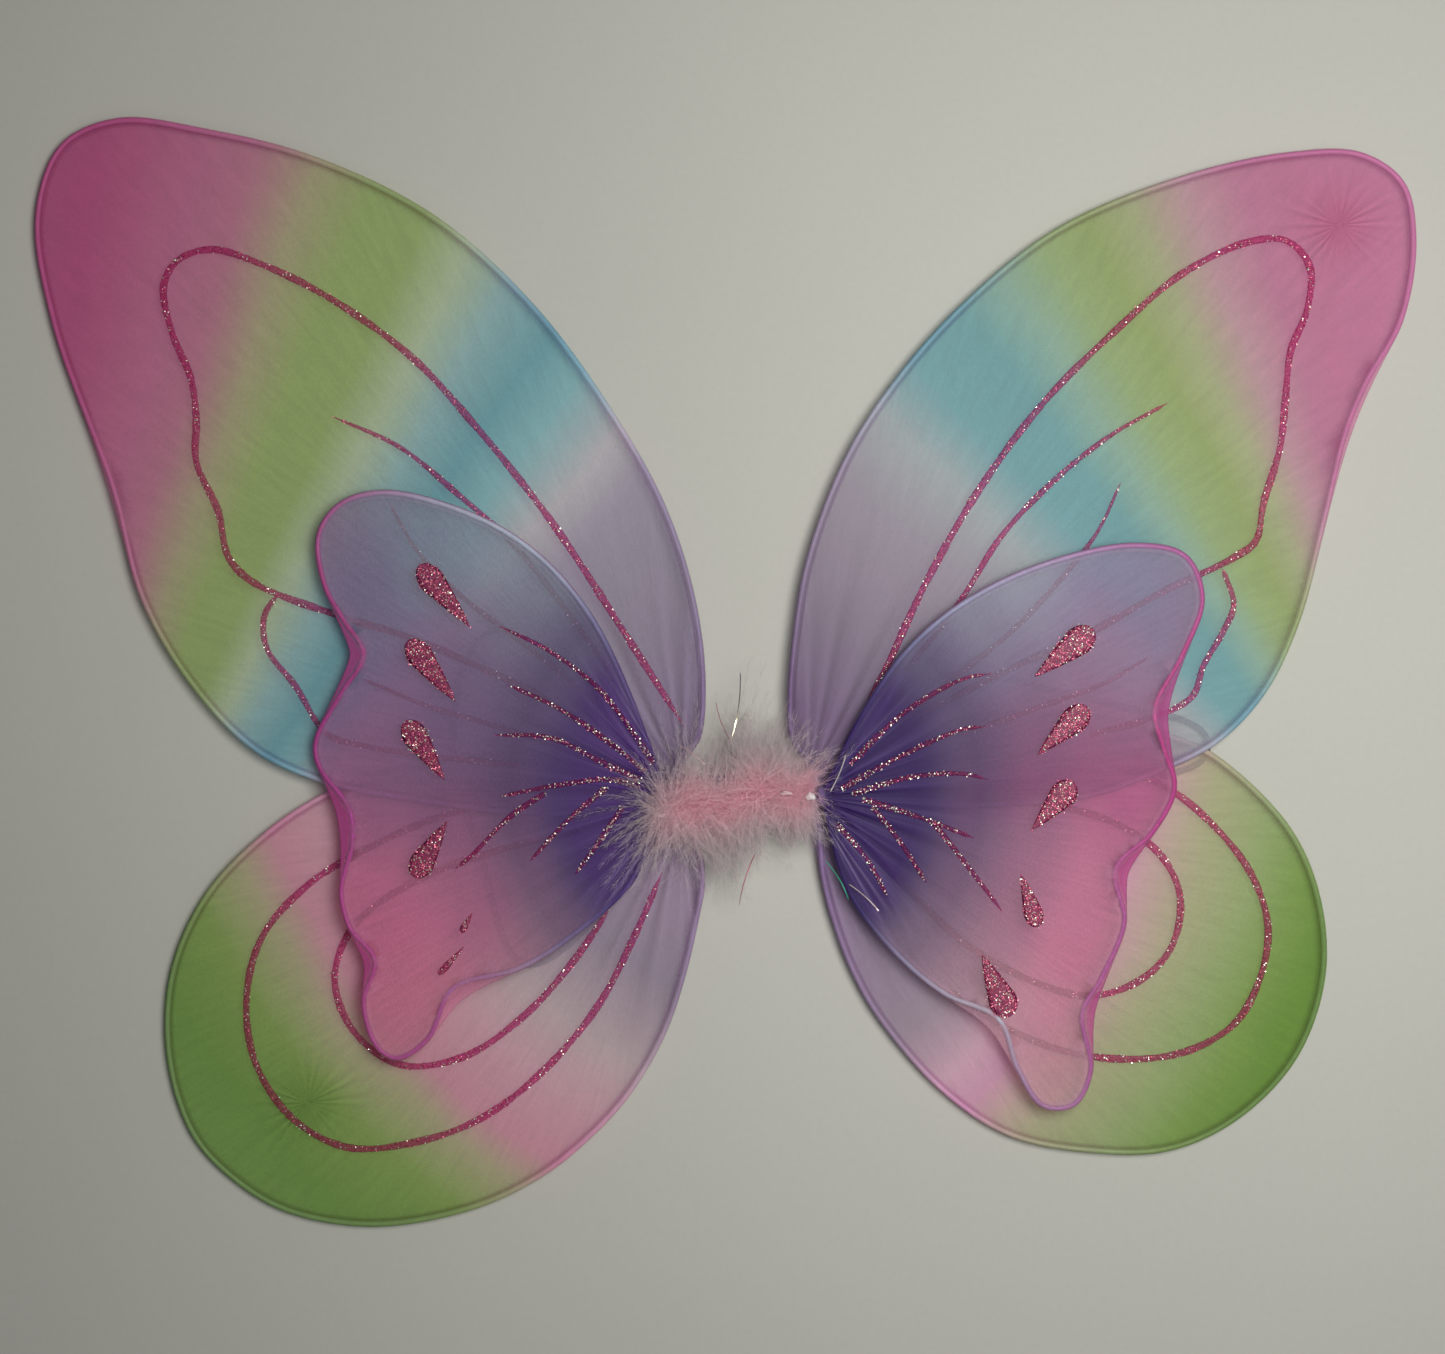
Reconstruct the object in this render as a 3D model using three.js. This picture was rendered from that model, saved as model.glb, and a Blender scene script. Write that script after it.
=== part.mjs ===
// Double-layer fairy wings: six wire-rimmed nylon wings on a marabou-trimmed hub.
// Millimetres, +Z up. The wings lie flat with the wearer's side down, +Y towards the head,
// and the origin is on the flat underside of the hub.
import * as THREE from 'three';

// ---- driving dimensions ----
const WIRE_R = 1.1;            // wire and its dyed nylon covering
const WIRE_SIDES = 6;
const STEPS_PER_SPAN = 3;      // wire steps between two outline points
const SKIN_T = 0.6;            // the nylon's two layers, drawn tight
const SKIN_INSET = WIRE_R + 0.45;
const GAP = 0.3;               // between touching pieces

const HUB_TOP = 12.4;          // wrapped thickness of the hub
const TAPE_T = 0.5;
const TAPE_HALF_X = 6;
const TAPE_HALF_Y = 8.4;
const CORE_R = 5.4;            // half thickness and end radius of the wire bundle
const CORE_Z = 6.2;
const CORE_END_X = 8;          // centre of the rounded end, and the fold axis
const CORE_HALF_Y = 7.5;

const BUNDLE_IN_X = 14.3;      // taped root bundle of one side's three wings
const BUNDLE_OUT_X = 20;
const BUNDLE_BOTTOM = 3;
const BUNDLE_TOP = 13;
const BUNDLE_SLOPE_X = 17.5;
const BUNDLE_SLOPE_Z = 8;

const LOWER_Z = 5.2;           // height of each wing's plane at the hub
const UPPER_Z = 8.2;
const SMALL_Z = 11.8;
const LOWER_DROP = 0.012;      // how far each plane falls for a millimetre outwards
const UPPER_DROP = 0.0166;

const BINDING_WALL = 0.6;
const BINDING_LENGTH = 3;

const CORD_R = 1.2;            // elastic arm loop
const CORD_SIDES = 8;
const CORD_STEPS = 48;
const CORD_Z = 1.25;
const TIE_IN_X = 13.4;
const TIE_OUT_X = 17;
const TIE_HALF_Y = 4.5;
const TIE_TOP = 2.6;

const group = new THREE.Group();

// ---- materials ----
function finish(color, roughness) {
  return new THREE.MeshStandardMaterial({ color, roughness, metalness: 0 });
}

const RIM_COLOURS = { upper: 0xb2558c, lower: 0x4f9440, small: 0xa64a8e };
const SKIN_COLOURS = { upper: 0x9fb08a, lower: 0xc9a0ae, small: 0x6f5a9a };
const THREAD = 0x6a4a86;
const TAPE = 0xd8a3b3;
const MARABOU = 0xe6a0b0;
const ELASTIC = 0xe9e4ec;

function add(name, geometry, material, parent = group) {
  const mesh = new THREE.Mesh(geometry, material);
  mesh.name = name;
  parent.add(mesh);
  return mesh;
}

// ---- plain solids ----
function polygon(points) {
  return new THREE.Shape(points.map(([x, y]) => new THREE.Vector2(x, y)));
}

function roundSection(radius, sides) {
  const points = [];
  for (let i = 0; i < sides; i++) {
    const a = (2 * Math.PI * i) / sides;
    points.push([radius * Math.cos(a), radius * Math.sin(a)]);
  }
  return polygon(points);
}

function rectangle(halfWidth, low, high) {
  return [[-halfWidth, low], [halfWidth, low], [halfWidth, high], [-halfWidth, high]];
}

// A profile drawn in X and Z, extruded along Y and centred on it.
function alongY(shape, length) {
  const solid = new THREE.ExtrudeGeometry(shape, { depth: length, bevelEnabled: false, curveSegments: 6 });
  solid.translate(0, 0, -length / 2);
  solid.rotateX(Math.PI / 2);
  return solid;
}

// A profile drawn in Y and Z, extruded along X from x0.
function alongX(shape, x0, length) {
  const solid = new THREE.ExtrudeGeometry(shape, { depth: length, bevelEnabled: false, curveSegments: 6 });
  solid.rotateY(Math.PI / 2);
  solid.rotateX(Math.PI / 2);
  solid.translate(x0, 0, 0);
  return solid;
}

function ellipsoid(x, y, z, rx, ry, rz) {
  const solid = new THREE.SphereGeometry(1, 12, 8);
  solid.scale(rx, ry, rz);
  solid.translate(x, y, z);
  return solid;
}

// ---- wire hoops and their nylon ----
// The steps follow the outline's own points, so tight bends get short steps.
class WirePath extends THREE.CatmullRomCurve3 {
  getUtoTmapping(u) {
    return u;
  }
}

function wirePath(outline) {
  return new WirePath(outline.map(([x, y]) => new THREE.Vector3(x, y, 0)), false, 'centripetal');
}

function wireHoop(outline) {
  const steps = (outline.length - 1) * STEPS_PER_SPAN;
  const section = roundSection(WIRE_R, WIRE_SIDES);
  return new THREE.ExtrudeGeometry(section, { steps, bevelEnabled: false, extrudePath: wirePath(outline) });
}

// The nylon fills the hoop inside the wire, from span `first` to `last` spans before its end.
function nylonSkin(outline, first, last) {
  const path = wirePath(outline);
  const spans = outline.length - 1;
  const count = (spans - first - last) * STEPS_PER_SPAN;
  const line = [];
  for (let i = 0; i <= count; i++) {
    line.push(path.getPoint((first + i / STEPS_PER_SPAN) / spans));
  }
  const flat = line.map((p) => new THREE.Vector2(p.x, p.y));
  const inward = THREE.ShapeUtils.isClockWise(flat) ? -1 : 1;
  const inset = line.map((p, i) => {
    const t = path.getTangent((first + i / STEPS_PER_SPAN) / spans);
    return new THREE.Vector2(p.x - inward * t.y * SKIN_INSET, p.y + inward * t.x * SKIN_INSET);
  });
  const solid = new THREE.ExtrudeGeometry(new THREE.Shape(inset), { depth: SKIN_T, bevelEnabled: false });
  solid.translate(0, 0, -SKIN_T / 2);
  return solid;
}

// A thread binding round the two legs of one hoop, which leave the root side by side.
function binding(side, x, y, halfSpread) {
  const holeY = halfSpread + WIRE_R + GAP;
  const holeZ = WIRE_R + GAP;
  const outerY = holeY + BINDING_WALL;
  const outerZ = holeZ + BINDING_WALL;
  const bevel = 0.8;
  const shape = polygon([
    [-outerY + bevel, -outerZ], [outerY - bevel, -outerZ], [outerY, -outerZ + bevel], [outerY, outerZ - bevel],
    [outerY - bevel, outerZ], [-outerY + bevel, outerZ], [-outerY, outerZ - bevel], [-outerY, -outerZ + bevel],
  ]);
  shape.holes.push(polygon(rectangle(holeY, -holeZ, holeZ)));
  const x0 = side < 0 ? -x - BINDING_LENGTH : x;
  const solid = alongX(shape, x0, BINDING_LENGTH);
  solid.translate(0, y, 0);
  return solid;
}

// ---- outlines of the six wires, from one leg round to the other ----
const LEG = BUNDLE_OUT_X + 0.9;        // free legs stop short of the bundle they turn against
const LEG_FIXED = BUNDLE_OUT_X + GAP;
const LEG_SMALL = BUNDLE_OUT_X + 2.1;  // the small wing swings down past the bundle's top corner
const OUTLINES = {
  left_upper: [
    [-LEG, 6.2], [-25, 6.2], [-25, 11.5], [-17.5, 20], [-15.3, 40], [-19, 71], [-30, 105], [-51, 142],
    [-79, 179], [-114, 210], [-157, 231], [-196, 241], [-228, 245], [-248, 236], [-257, 211], [-251, 172],
    [-229, 111], [-218, 71], [-199, 39], [-176, 16], [-148, 4], [-115, -2], [-83, -6], [-45, -5],
    [-25, 3.8], [-LEG, 3.8],
  ],
  right_upper: [
    [LEG, 6.2], [25, 6.2], [24.5, 11.5], [17.4, 20], [16.4, 35], [18, 56], [23, 85], [37, 122],
    [55, 150], [80, 178], [114, 205], [158, 223.5], [198, 232.5], [224, 232.5], [239, 222], [243, 201],
    [238, 172], [225, 149], [218, 132], [210, 100], [200, 63], [188, 38], [171, 20], [152, 10],
    [124, 0], [92, -3], [50, -3], [25, 3.8], [LEG, 3.8],
  ],
  left_lower: [
    [-LEG_FIXED, -6.2], [-25, -6.2], [-25, -11.5], [-17.6, -18], [-15.4, -30], [-18, -46], [-23, -67],
    [-30, -87], [-43, -109], [-59, -126], [-76, -139], [-100, -150], [-135, -156], [-166, -151],
    [-185, -140], [-200, -124], [-209, -97], [-208, -65], [-195, -36], [-171, -12], [-148, 2],
    [-128, 9], [-103, 13], [-80, 15], [-52, 11], [-25, -3.8], [-LEG_FIXED, -3.8],
  ],
  right_lower: [
    [LEG_FIXED, -6.2], [25, -6.2], [26.8, -12], [28.3, -29], [33, -47], [40, -65], [50, -82],
    [72, -107], [96, -123], [125, -129], [154, -128.5], [179, -117], [200, -95], [210, -66], [208, -37],
    [197, -12], [170, 14], [152, 22], [126, 28.5], [105, 30], [78, 27], [50, 13], [25, -3.8],
    [LEG_FIXED, -3.8],
  ],
  left_small: [
    [-LEG_SMALL, 1.2], [-29.8, 1.2], [-33, 12], [-42, 37], [-56, 65], [-74, 86], [-96, 100], [-129, 109],
    [-145, 105], [-153, 94], [-151, 76], [-144, 63], [-137, 51], [-145, 37], [-154, 20], [-153, 11],
    [-142, -5], [-141, -16], [-145, -34], [-142, -47], [-133, -59], [-137, -74], [-132, -90],
    [-125, -94], [-114, -87], [-105, -69], [-82, -62], [-65, -52], [-40, -29], [-29.8, -1.2], [-LEG_SMALL, -1.2],
  ],
  right_small: [
    [LEG_SMALL, 1.2], [29.8, 1.2], [33.5, 12], [42, 29], [58, 52], [78, 69], [107, 83], [140, 90],
    [158, 86], [164, 71], [157, 51], [147, 31], [150, 18], [154, 3], [146, -13], [133, -26],
    [136, -45], [128, -65], [121, -78], [124, -98], [118, -110.5], [107, -111], [98, -98], [91, -80],
    [72, -71], [56, -58], [39, -37], [32, -18], [29.8, -1.2], [LEG_SMALL, -1.2],
  ],
};

// ---- wings: a wire hoop, its nylon and its root binding in one tilted plane ----
const WINGS = {
  upper: { z: UPPER_Z, drop: UPPER_DROP, across: 1, along: 1, legY: 5, bindX: BUNDLE_OUT_X + 1.3, skip: [3, 2] },
  lower: { z: LOWER_Z, drop: LOWER_DROP, across: 1, along: -0.88, legY: -5, bindX: BUNDLE_OUT_X + 1.3, skip: [3, 2] },
  small: { z: SMALL_Z, drop: 0, across: 1, along: 0, legY: 0, bindX: BUNDLE_OUT_X + 6, skip: [2, 2] },
};

function addWing(sideName, side, level) {
  const wing = WINGS[level];
  const name = `${sideName}_${level}`;
  const outline = OUTLINES[name];
  const plane = new THREE.Group();
  const outwards = new THREE.Vector3(side * wing.across, wing.along, 0).normalize();
  const axis = new THREE.Vector3(-outwards.y, outwards.x, 0);
  plane.quaternion.setFromAxisAngle(axis, Math.atan(wing.drop));
  plane.position.z = wing.z;
  group.add(plane);
  add(`${name}_wire_frame`, wireHoop(outline), finish(RIM_COLOURS[level], 0.5), plane);
  add(`${name}_nylon_skin`, nylonSkin(outline, ...wing.skip), finish(SKIN_COLOURS[level], 0.7), plane);
  add(`${name}_root_binding`, binding(side, wing.bindX, wing.legY, 1.2), finish(THREAD, 0.8), plane);
}

// ---- one side's taped bundle, which holds the roots of its three wings ----
function rootBundle(side) {
  const profile = [
    [side * BUNDLE_IN_X, BUNDLE_BOTTOM],
    [side * BUNDLE_IN_X, BUNDLE_SLOPE_Z],
    [side * BUNDLE_SLOPE_X, BUNDLE_TOP],
    [side * BUNDLE_OUT_X, BUNDLE_TOP],
    [side * BUNDLE_OUT_X, BUNDLE_BOTTOM],
  ];
  return alongY(polygon(profile.map(([x, z]) => [x, z])), 2 * CORE_HALF_Y);
}

// ---- hub ----
function hubCore() {
  const shape = new THREE.Shape();
  shape.absarc(CORE_END_X, CORE_Z, CORE_R, -Math.PI / 2, Math.PI / 2, false);
  shape.absarc(-CORE_END_X, CORE_Z, CORE_R, Math.PI / 2, (3 * Math.PI) / 2, false);
  return alongY(shape, 2 * CORE_HALF_Y);
}

function hubTape() {
  const shape = polygon(rectangle(TAPE_HALF_Y, 0, HUB_TOP));
  const hole = rectangle(TAPE_HALF_Y - TAPE_T, TAPE_T, HUB_TOP - TAPE_T);
  shape.holes.push(polygon(hole));
  return alongX(shape, -TAPE_HALF_X, 2 * TAPE_HALF_X);
}

// ---- elastic arm loops, lying under the wings, and the ties that hold them to the hub ----
const CORD_START = TIE_OUT_X + GAP;
const ROUTES = {
  left: [
    [-CORD_START, 2], [-21, 2], [-31, 10], [-47, 27], [-64, 43], [-76, 53], [-87, 60], [-95, 58],
    [-102, 47], [-106, 26], [-105, 0], [-101, -8], [-95, -26], [-90, -45], [-86, -56], [-79, -62],
    [-70, -59], [-54, -45], [-36, -23], [-26, -6], [-21, -2], [-CORD_START, -2],
  ],
  right: [
    [CORD_START, 2], [21, 2], [32, 10], [50, 27], [62, 38], [76, 44], [92, 43], [112, 38], [130, 34],
    [146, 30], [160, 27], [168, 21], [167, 13], [157, 8], [138, 5], [112, 4], [84, 3], [54, 1], [32, -1.5],
    [21, -2], [CORD_START, -2],
  ],
};

function armLoop(route) {
  const points = route.map(([x, y]) => new THREE.Vector3(x, y, CORD_Z));
  const path = new THREE.CatmullRomCurve3(points, false, 'centripetal');
  const section = roundSection(CORD_R, CORD_SIDES);
  return new THREE.ExtrudeGeometry(section, { steps: CORD_STEPS, bevelEnabled: false, extrudePath: path });
}

function armLoopTie(side) {
  const width = TIE_OUT_X - TIE_IN_X;
  const x0 = side < 0 ? -TIE_OUT_X : TIE_IN_X;
  return alongX(polygon(rectangle(TIE_HALF_Y, 0, TIE_TOP)), x0, width);
}

// ---- assembly ----
add('hub_core', hubCore(), finish(THREAD, 0.7));
add('hub_tape', hubTape(), finish(TAPE, 0.8));
add('marabou_centre', ellipsoid(0, 0, 16.4, 4.4, 10, 3.6), finish(MARABOU, 0.9));
for (const [sideName, side] of [['left', -1], ['right', 1]]) {
  add(`${sideName}_root_bundle`, rootBundle(side), finish(TAPE, 0.8));
  for (const level of ['lower', 'upper', 'small']) {
    addWing(sideName, side, level);
  }
  add(`${sideName}_marabou`, ellipsoid(side * 30, 0, 17, 8, 12, 2.5), finish(MARABOU, 0.9));
  add(`${sideName}_arm_loop`, armLoop(ROUTES[sideName]), finish(ELASTIC, 0.8));
  add(`${sideName}_arm_loop_tie`, armLoopTie(side), finish(ELASTIC, 0.8));
}

export default group;
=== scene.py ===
# Looks of a pair of layered nylon fairy wings, lying flat on a pale table.
# Lengths in this script are millimetres until a mesh, curve, light or camera is made.
import math
import bpy
import numpy as np
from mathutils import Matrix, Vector
from mathutils.geometry import delaunay_2d_cdt


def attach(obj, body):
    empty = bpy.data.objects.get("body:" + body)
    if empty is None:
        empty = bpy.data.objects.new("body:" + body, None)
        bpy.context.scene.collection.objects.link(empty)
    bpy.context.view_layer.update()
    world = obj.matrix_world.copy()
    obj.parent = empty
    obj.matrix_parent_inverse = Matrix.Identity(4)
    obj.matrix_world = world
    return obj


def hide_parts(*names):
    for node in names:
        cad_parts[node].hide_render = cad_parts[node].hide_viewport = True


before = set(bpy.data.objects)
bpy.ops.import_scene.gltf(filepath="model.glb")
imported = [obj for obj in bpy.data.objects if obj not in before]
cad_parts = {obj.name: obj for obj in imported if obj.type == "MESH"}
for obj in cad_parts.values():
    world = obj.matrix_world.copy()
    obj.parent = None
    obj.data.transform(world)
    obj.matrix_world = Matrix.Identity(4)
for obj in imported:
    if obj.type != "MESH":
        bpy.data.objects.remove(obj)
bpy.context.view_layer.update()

MM = 0.001
SIDES = (("left", -1.0), ("right", 1.0))
ORDER = ("lower", "upper", "small")
FULL_TURN = 2 * math.pi
CLEAR = (1, 1, 1, 1)
rng = np.random.default_rng(7)

# ---------------------------------------------------------------- camera
VIEW_WIDTH = 523.8            # frame width at the wings' height
WINGS_Z = 5.0
VIEW_CENTRE = (-8.16, 42.8)
LENS = 50.0
SENSOR = 36.0
camera_data = bpy.data.cameras.new("camera")
camera_data.lens = LENS
camera_data.sensor_width = SENSOR
camera_data.clip_start = 0.01
camera = bpy.data.objects.new("camera", camera_data)
camera.location = (VIEW_CENTRE[0] * MM, VIEW_CENTRE[1] * MM, (WINGS_Z + VIEW_WIDTH * LENS / SENSOR) * MM)
bpy.context.collection.objects.link(camera)
bpy.context.scene.camera = camera
bpy.context.scene.view_settings.view_transform = "Standard"


# ---------------------------------------------------------------- shader helpers
def srgb(r, g, b):
    """An 8-bit sRGB colour as linear RGBA."""
    out = []
    for v in (r, g, b):
        v = v / 255.0
        out.append(v / 12.92 if v <= 0.04045 else ((v + 0.055) / 1.055) ** 2.4)
    return (*out, 1.0)


def colours(rows):
    """Ramp stops from (place, r, g, b) rows."""
    return [(place, srgb(*colour)) for place, *colour in rows]


class Nodes:
    """A short way to write a node material. A value is a number, a colour or another node's output."""

    def __init__(self, name):
        self.material = bpy.data.materials.new(name)
        self.material.use_nodes = True
        self.tree = self.material.node_tree
        self.tree.nodes.clear()
        self.out = self.tree.nodes.new("ShaderNodeOutputMaterial")

    def add(self, kind, **values):
        node = self.tree.nodes.new("ShaderNode" + kind)
        for key, value in values.items():
            setattr(node, key, value)
        return node

    def put(self, socket, value):
        """Sets the socket, or links the value to it."""
        if isinstance(value, (int, float, tuple)):
            socket.default_value = value
        elif value is not None:
            self.tree.links.new(value, socket)

    def attribute(self, name, output="Fac"):
        return self.add("Attribute", attribute_name=name).outputs[output]

    def coords(self):
        return self.add("TexCoord").outputs["Object"]

    def scaled(self, vector, scale):
        node = self.add("VectorMath", operation="MULTIPLY")
        self.put(node.inputs[0], vector)
        self.put(node.inputs[1], scale)
        return node.outputs[0]

    def noise(self, vector, scale, detail=3.0, rough=0.5):
        node = self.add("TexNoise")
        for key, value in (("Vector", vector), ("Scale", scale), ("Detail", detail), ("Roughness", rough)):
            self.put(node.inputs[key], value)
        return node.outputs["Fac"]

    def math(self, operation, a, b=None, clamp=False):
        node = self.add("Math", operation=operation, use_clamp=clamp)
        self.put(node.inputs[0], a)
        self.put(node.inputs[1], b)
        return node.outputs[0]

    def plus(self, a, b, clamp=False):
        return self.math("ADD", a, b, clamp)

    def times(self, a, b):
        return self.math("MULTIPLY", a, b)

    def span(self, value, low, high, to_low=0.0, to_high=1.0):
        """The value's range from low to high, stretched to another range and clamped."""
        node = self.add("MapRange")
        self.put(node.inputs["Value"], value)
        for key, number in (("From Min", low), ("From Max", high), ("To Min", to_low), ("To Max", to_high)):
            self.put(node.inputs[key], number)
        return node.outputs["Result"]

    def ramp(self, value, stops, mode="LINEAR"):
        """A colour ramp; stops are (place, colour), in order of place."""
        node = self.add("ValToRGB")
        node.color_ramp.interpolation = mode
        elements = node.color_ramp.elements
        while len(elements) < len(stops):
            elements.new(0.5)
        for element, (place, _) in zip(elements, stops):
            element.position = place
        for element, (place, colour) in zip(elements, stops):
            element.position = place
            element.color = colour
        self.put(node.inputs["Fac"], value)
        return node.outputs["Color"]

    def mix(self, factor, a, b, blend="MIX"):
        node = self.add("Mix", data_type="RGBA", blend_type=blend)
        self.put(node.inputs["Factor"], factor)
        self.put(node.inputs[6], a)
        self.put(node.inputs[7], b)
        return node.outputs[2]

    def bump(self, height, distance, strength=1.0):
        node = self.add("Bump")
        for key, value in (("Strength", strength), ("Distance", distance), ("Height", height)):
            self.put(node.inputs[key], value)
        return node.outputs["Normal"]

    def principled(self, colour, roughness, normal=None, **sockets):
        node = self.add("BsdfPrincipled")
        for key, value in (("Base Color", colour), ("Roughness", roughness), ("Normal", normal)):
            self.put(node.inputs[key], value)
        for key, value in sockets.items():
            self.put(node.inputs[key.replace("_", " ")], value)
        return node.outputs[0]

    def layered(self, cover, under, over):
        """One shader over another, hiding a share of it."""
        node = self.add("MixShader")
        for socket, value in zip(node.inputs, (cover, under, over)):
            self.put(socket, value)
        return node.outputs[0]

    def film(self, cover, tint, over):
        """A shader that hides a share of what is behind it; the rest shows through, tinted."""
        clear = self.add("BsdfTransparent")
        self.put(clear.inputs["Color"], tint)
        return self.layered(cover, clear.outputs[0], over)

    def finish(self, shader):
        self.put(self.out.inputs["Surface"], shader)
        return self.material


# ---------------------------------------------------------------- mesh helpers
def new_object(name, data, body, material):
    piece = bpy.data.objects.new(name, data)
    data.materials.append(material)
    bpy.context.collection.objects.link(piece)
    if body:
        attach(piece, body)
    return piece


def mesh_piece(name, points, faces, body, material, smooth=True, floats=None, flow=None):
    """A mesh object from points in millimetres and arrays of faces, with named values at its points."""
    mesh = bpy.data.meshes.new(name)
    points = np.asarray(points, dtype=float) * MM
    loops = np.concatenate([f.ravel() for f in faces])
    sizes = np.concatenate([np.full(len(f), f.shape[1]) for f in faces])
    starts = np.concatenate([[0], np.cumsum(sizes)[:-1]])
    mesh.vertices.add(len(points))
    mesh.vertices.foreach_set("co", points.ravel())
    mesh.loops.add(len(loops))
    mesh.loops.foreach_set("vertex_index", loops.astype(np.int32))
    mesh.polygons.add(len(sizes))
    mesh.polygons.foreach_set("loop_start", starts.astype(np.int32))
    mesh.polygons.foreach_set("loop_total", sizes.astype(np.int32))
    mesh.update(calc_edges=True)
    mesh.polygons.foreach_set("use_smooth", np.full(len(sizes), smooth))
    for key, values in (floats or {}).items():
        data = mesh.attributes.new(key, "FLOAT", "POINT").data
        data.foreach_set("value", np.asarray(values, dtype=np.float32))
    if flow is not None:
        data = mesh.attributes.new("flow", "FLOAT_VECTOR", "POINT").data
        data.foreach_set("vector", np.asarray(flow, dtype=np.float32).ravel())
    piece = new_object(name, mesh, body, material)
    mesh.validate()
    mesh.update()
    return piece


def length_of(line):
    return float(np.linalg.norm(np.diff(line, axis=0), axis=1).sum())


def unit(vectors):
    """Vectors along the last axis, made one unit long."""
    return vectors / np.maximum(np.linalg.norm(vectors, axis=-1, keepdims=True), 1e-9)


def resample(line, step):
    """Points at even steps along a line."""
    length = np.concatenate([[0], np.cumsum(np.linalg.norm(np.diff(line, axis=0), axis=1))])
    at = np.linspace(0, length[-1], max(int(round(length[-1] / step)), 2) + 1)
    return np.stack([np.interp(at, length, line[:, k]) for k in range(line.shape[1])], axis=1)


def spline(points, step):
    """A centripetal Catmull-Rom curve through the points, resampled at even steps."""
    p = np.asarray(points, dtype=float)
    p = np.vstack([2 * p[0] - p[1], p, 2 * p[-1] - p[-2]])
    out = []
    for i in range(1, len(p) - 2):
        a, b, c, d = p[i - 1:i + 3]
        t0 = 0.0
        t1 = t0 + max(np.linalg.norm(b - a), 1e-6) ** 0.5
        t2 = t1 + max(np.linalg.norm(c - b), 1e-6) ** 0.5
        t3 = t2 + max(np.linalg.norm(d - c), 1e-6) ** 0.5
        t = np.linspace(t1, t2, 24, endpoint=False)[:, None]
        ab = (t1 - t) / (t1 - t0) * a + (t - t0) / (t1 - t0) * b
        bc = (t2 - t) / (t2 - t1) * b + (t - t1) / (t2 - t1) * c
        cd = (t3 - t) / (t3 - t2) * c + (t - t2) / (t3 - t2) * d
        abc = (t2 - t) / (t2 - t0) * ab + (t - t0) / (t2 - t0) * bc
        bcd = (t3 - t) / (t3 - t1) * bc + (t - t1) / (t3 - t1) * cd
        out.append((t2 - t) / (t2 - t1) * abc + (t - t1) / (t2 - t1) * bcd)
    out.append(p[-2][None, :])
    return resample(np.vstack(out), step)


def tangents(line, closed=False):
    if closed:
        return unit(np.roll(line, -1, axis=0) - np.roll(line, 1, axis=0))
    return unit(np.gradient(line, axis=0))


def angles(count):
    """Angles spaced evenly round a circle."""
    return np.linspace(0, FULL_TURN, count, endpoint=False)


def ring_quads(rings, around, flip=False):
    """Quads between rings of points; every ring closes on itself."""
    i, j = np.meshgrid(np.arange(rings - 1), np.arange(around), indexing="ij")
    i, j = i.ravel(), j.ravel()
    k = (j + 1) % around
    quads = np.stack([i * around + j, (i + 1) * around + j, (i + 1) * around + k, i * around + k], axis=1)
    return quads[:, [0, 3, 2, 1]] if flip else quads


def end_tris(rings, around, flip=False):
    """Triangles that close the first and last ring, each to its own point after all the rings."""
    j = np.arange(around)
    k = (j + 1) % around
    last = (rings - 1) * around
    tris = np.vstack([np.stack([np.full(around, rings * around), j, k], axis=1),
                      np.stack([np.full(around, rings * around + 1), last + k, last + j], axis=1)])
    return tris[:, [0, 2, 1]] if flip else tris


def tube(line, radius, sides=10, twist=0.0, groove=0.0, grooves=0):
    """A tube along a line; radius is a number or one per point. Grooves wind round it like a thread."""
    line = np.asarray(line, dtype=float)
    n = len(line)
    radius = np.broadcast_to(np.asarray(radius, dtype=float), (n,))
    t = tangents(line)
    up = np.array([0.0, 0.0, 1.0])
    if abs(t[0] @ up) > 0.9:
        up = np.array([1.0, 0.0, 0.0])
    side = np.cross(t[0], up)
    side /= np.linalg.norm(side)
    a = angles(sides)
    rings = []
    for i in range(n):
        side = side - (side @ t[i]) * t[i]
        side /= np.linalg.norm(side)
        over = np.cross(side, t[i])
        r = radius[i] * (1 + groove * np.cos(grooves * a + twist * i))
        rings.append(line[i] + (np.cos(a) * r)[:, None] * side + (np.sin(a) * r)[:, None] * over)
    rings.append(line[0] - t[0] * radius[0] * 0.45)
    rings.append(line[-1] + t[-1] * radius[-1] * 0.45)
    return np.vstack(rings), [ring_quads(n, sides), end_tris(n, sides)]


# ---------------------------------------------------------------- elastic arm loops (the cords come first)
CORD_Z = 1.25
CORD_R = 1.2
STRANDS = 4                   # strands of the braid, seen round the cord
STRAND_TURN = 0.42            # how far a strand turns round the cord from one point to the next
ROUTES = {
    "left": [
        (-17.3, 2), (-21, 2), (-31, 10), (-47, 27), (-64, 43), (-76, 53), (-87, 60), (-95, 58), (-102, 47),
        (-106, 26), (-105, 0), (-101, -8), (-95, -26), (-90, -45), (-86, -56), (-79, -62), (-70, -59),
        (-54, -45), (-36, -23), (-26, -6), (-21, -2), (-17.3, -2)],
    "right": [
        (17.3, 2), (21, 2), (32, 10), (50, 27), (62, 38), (76, 44), (92, 43), (112, 38), (130, 34), (146, 30),
        (160, 27), (168, 21), (167, 13), (157, 8), (138, 5), (112, 4), (84, 3), (54, 1), (32, -1.5),
        (21, -2), (17.3, -2)],
}


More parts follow.
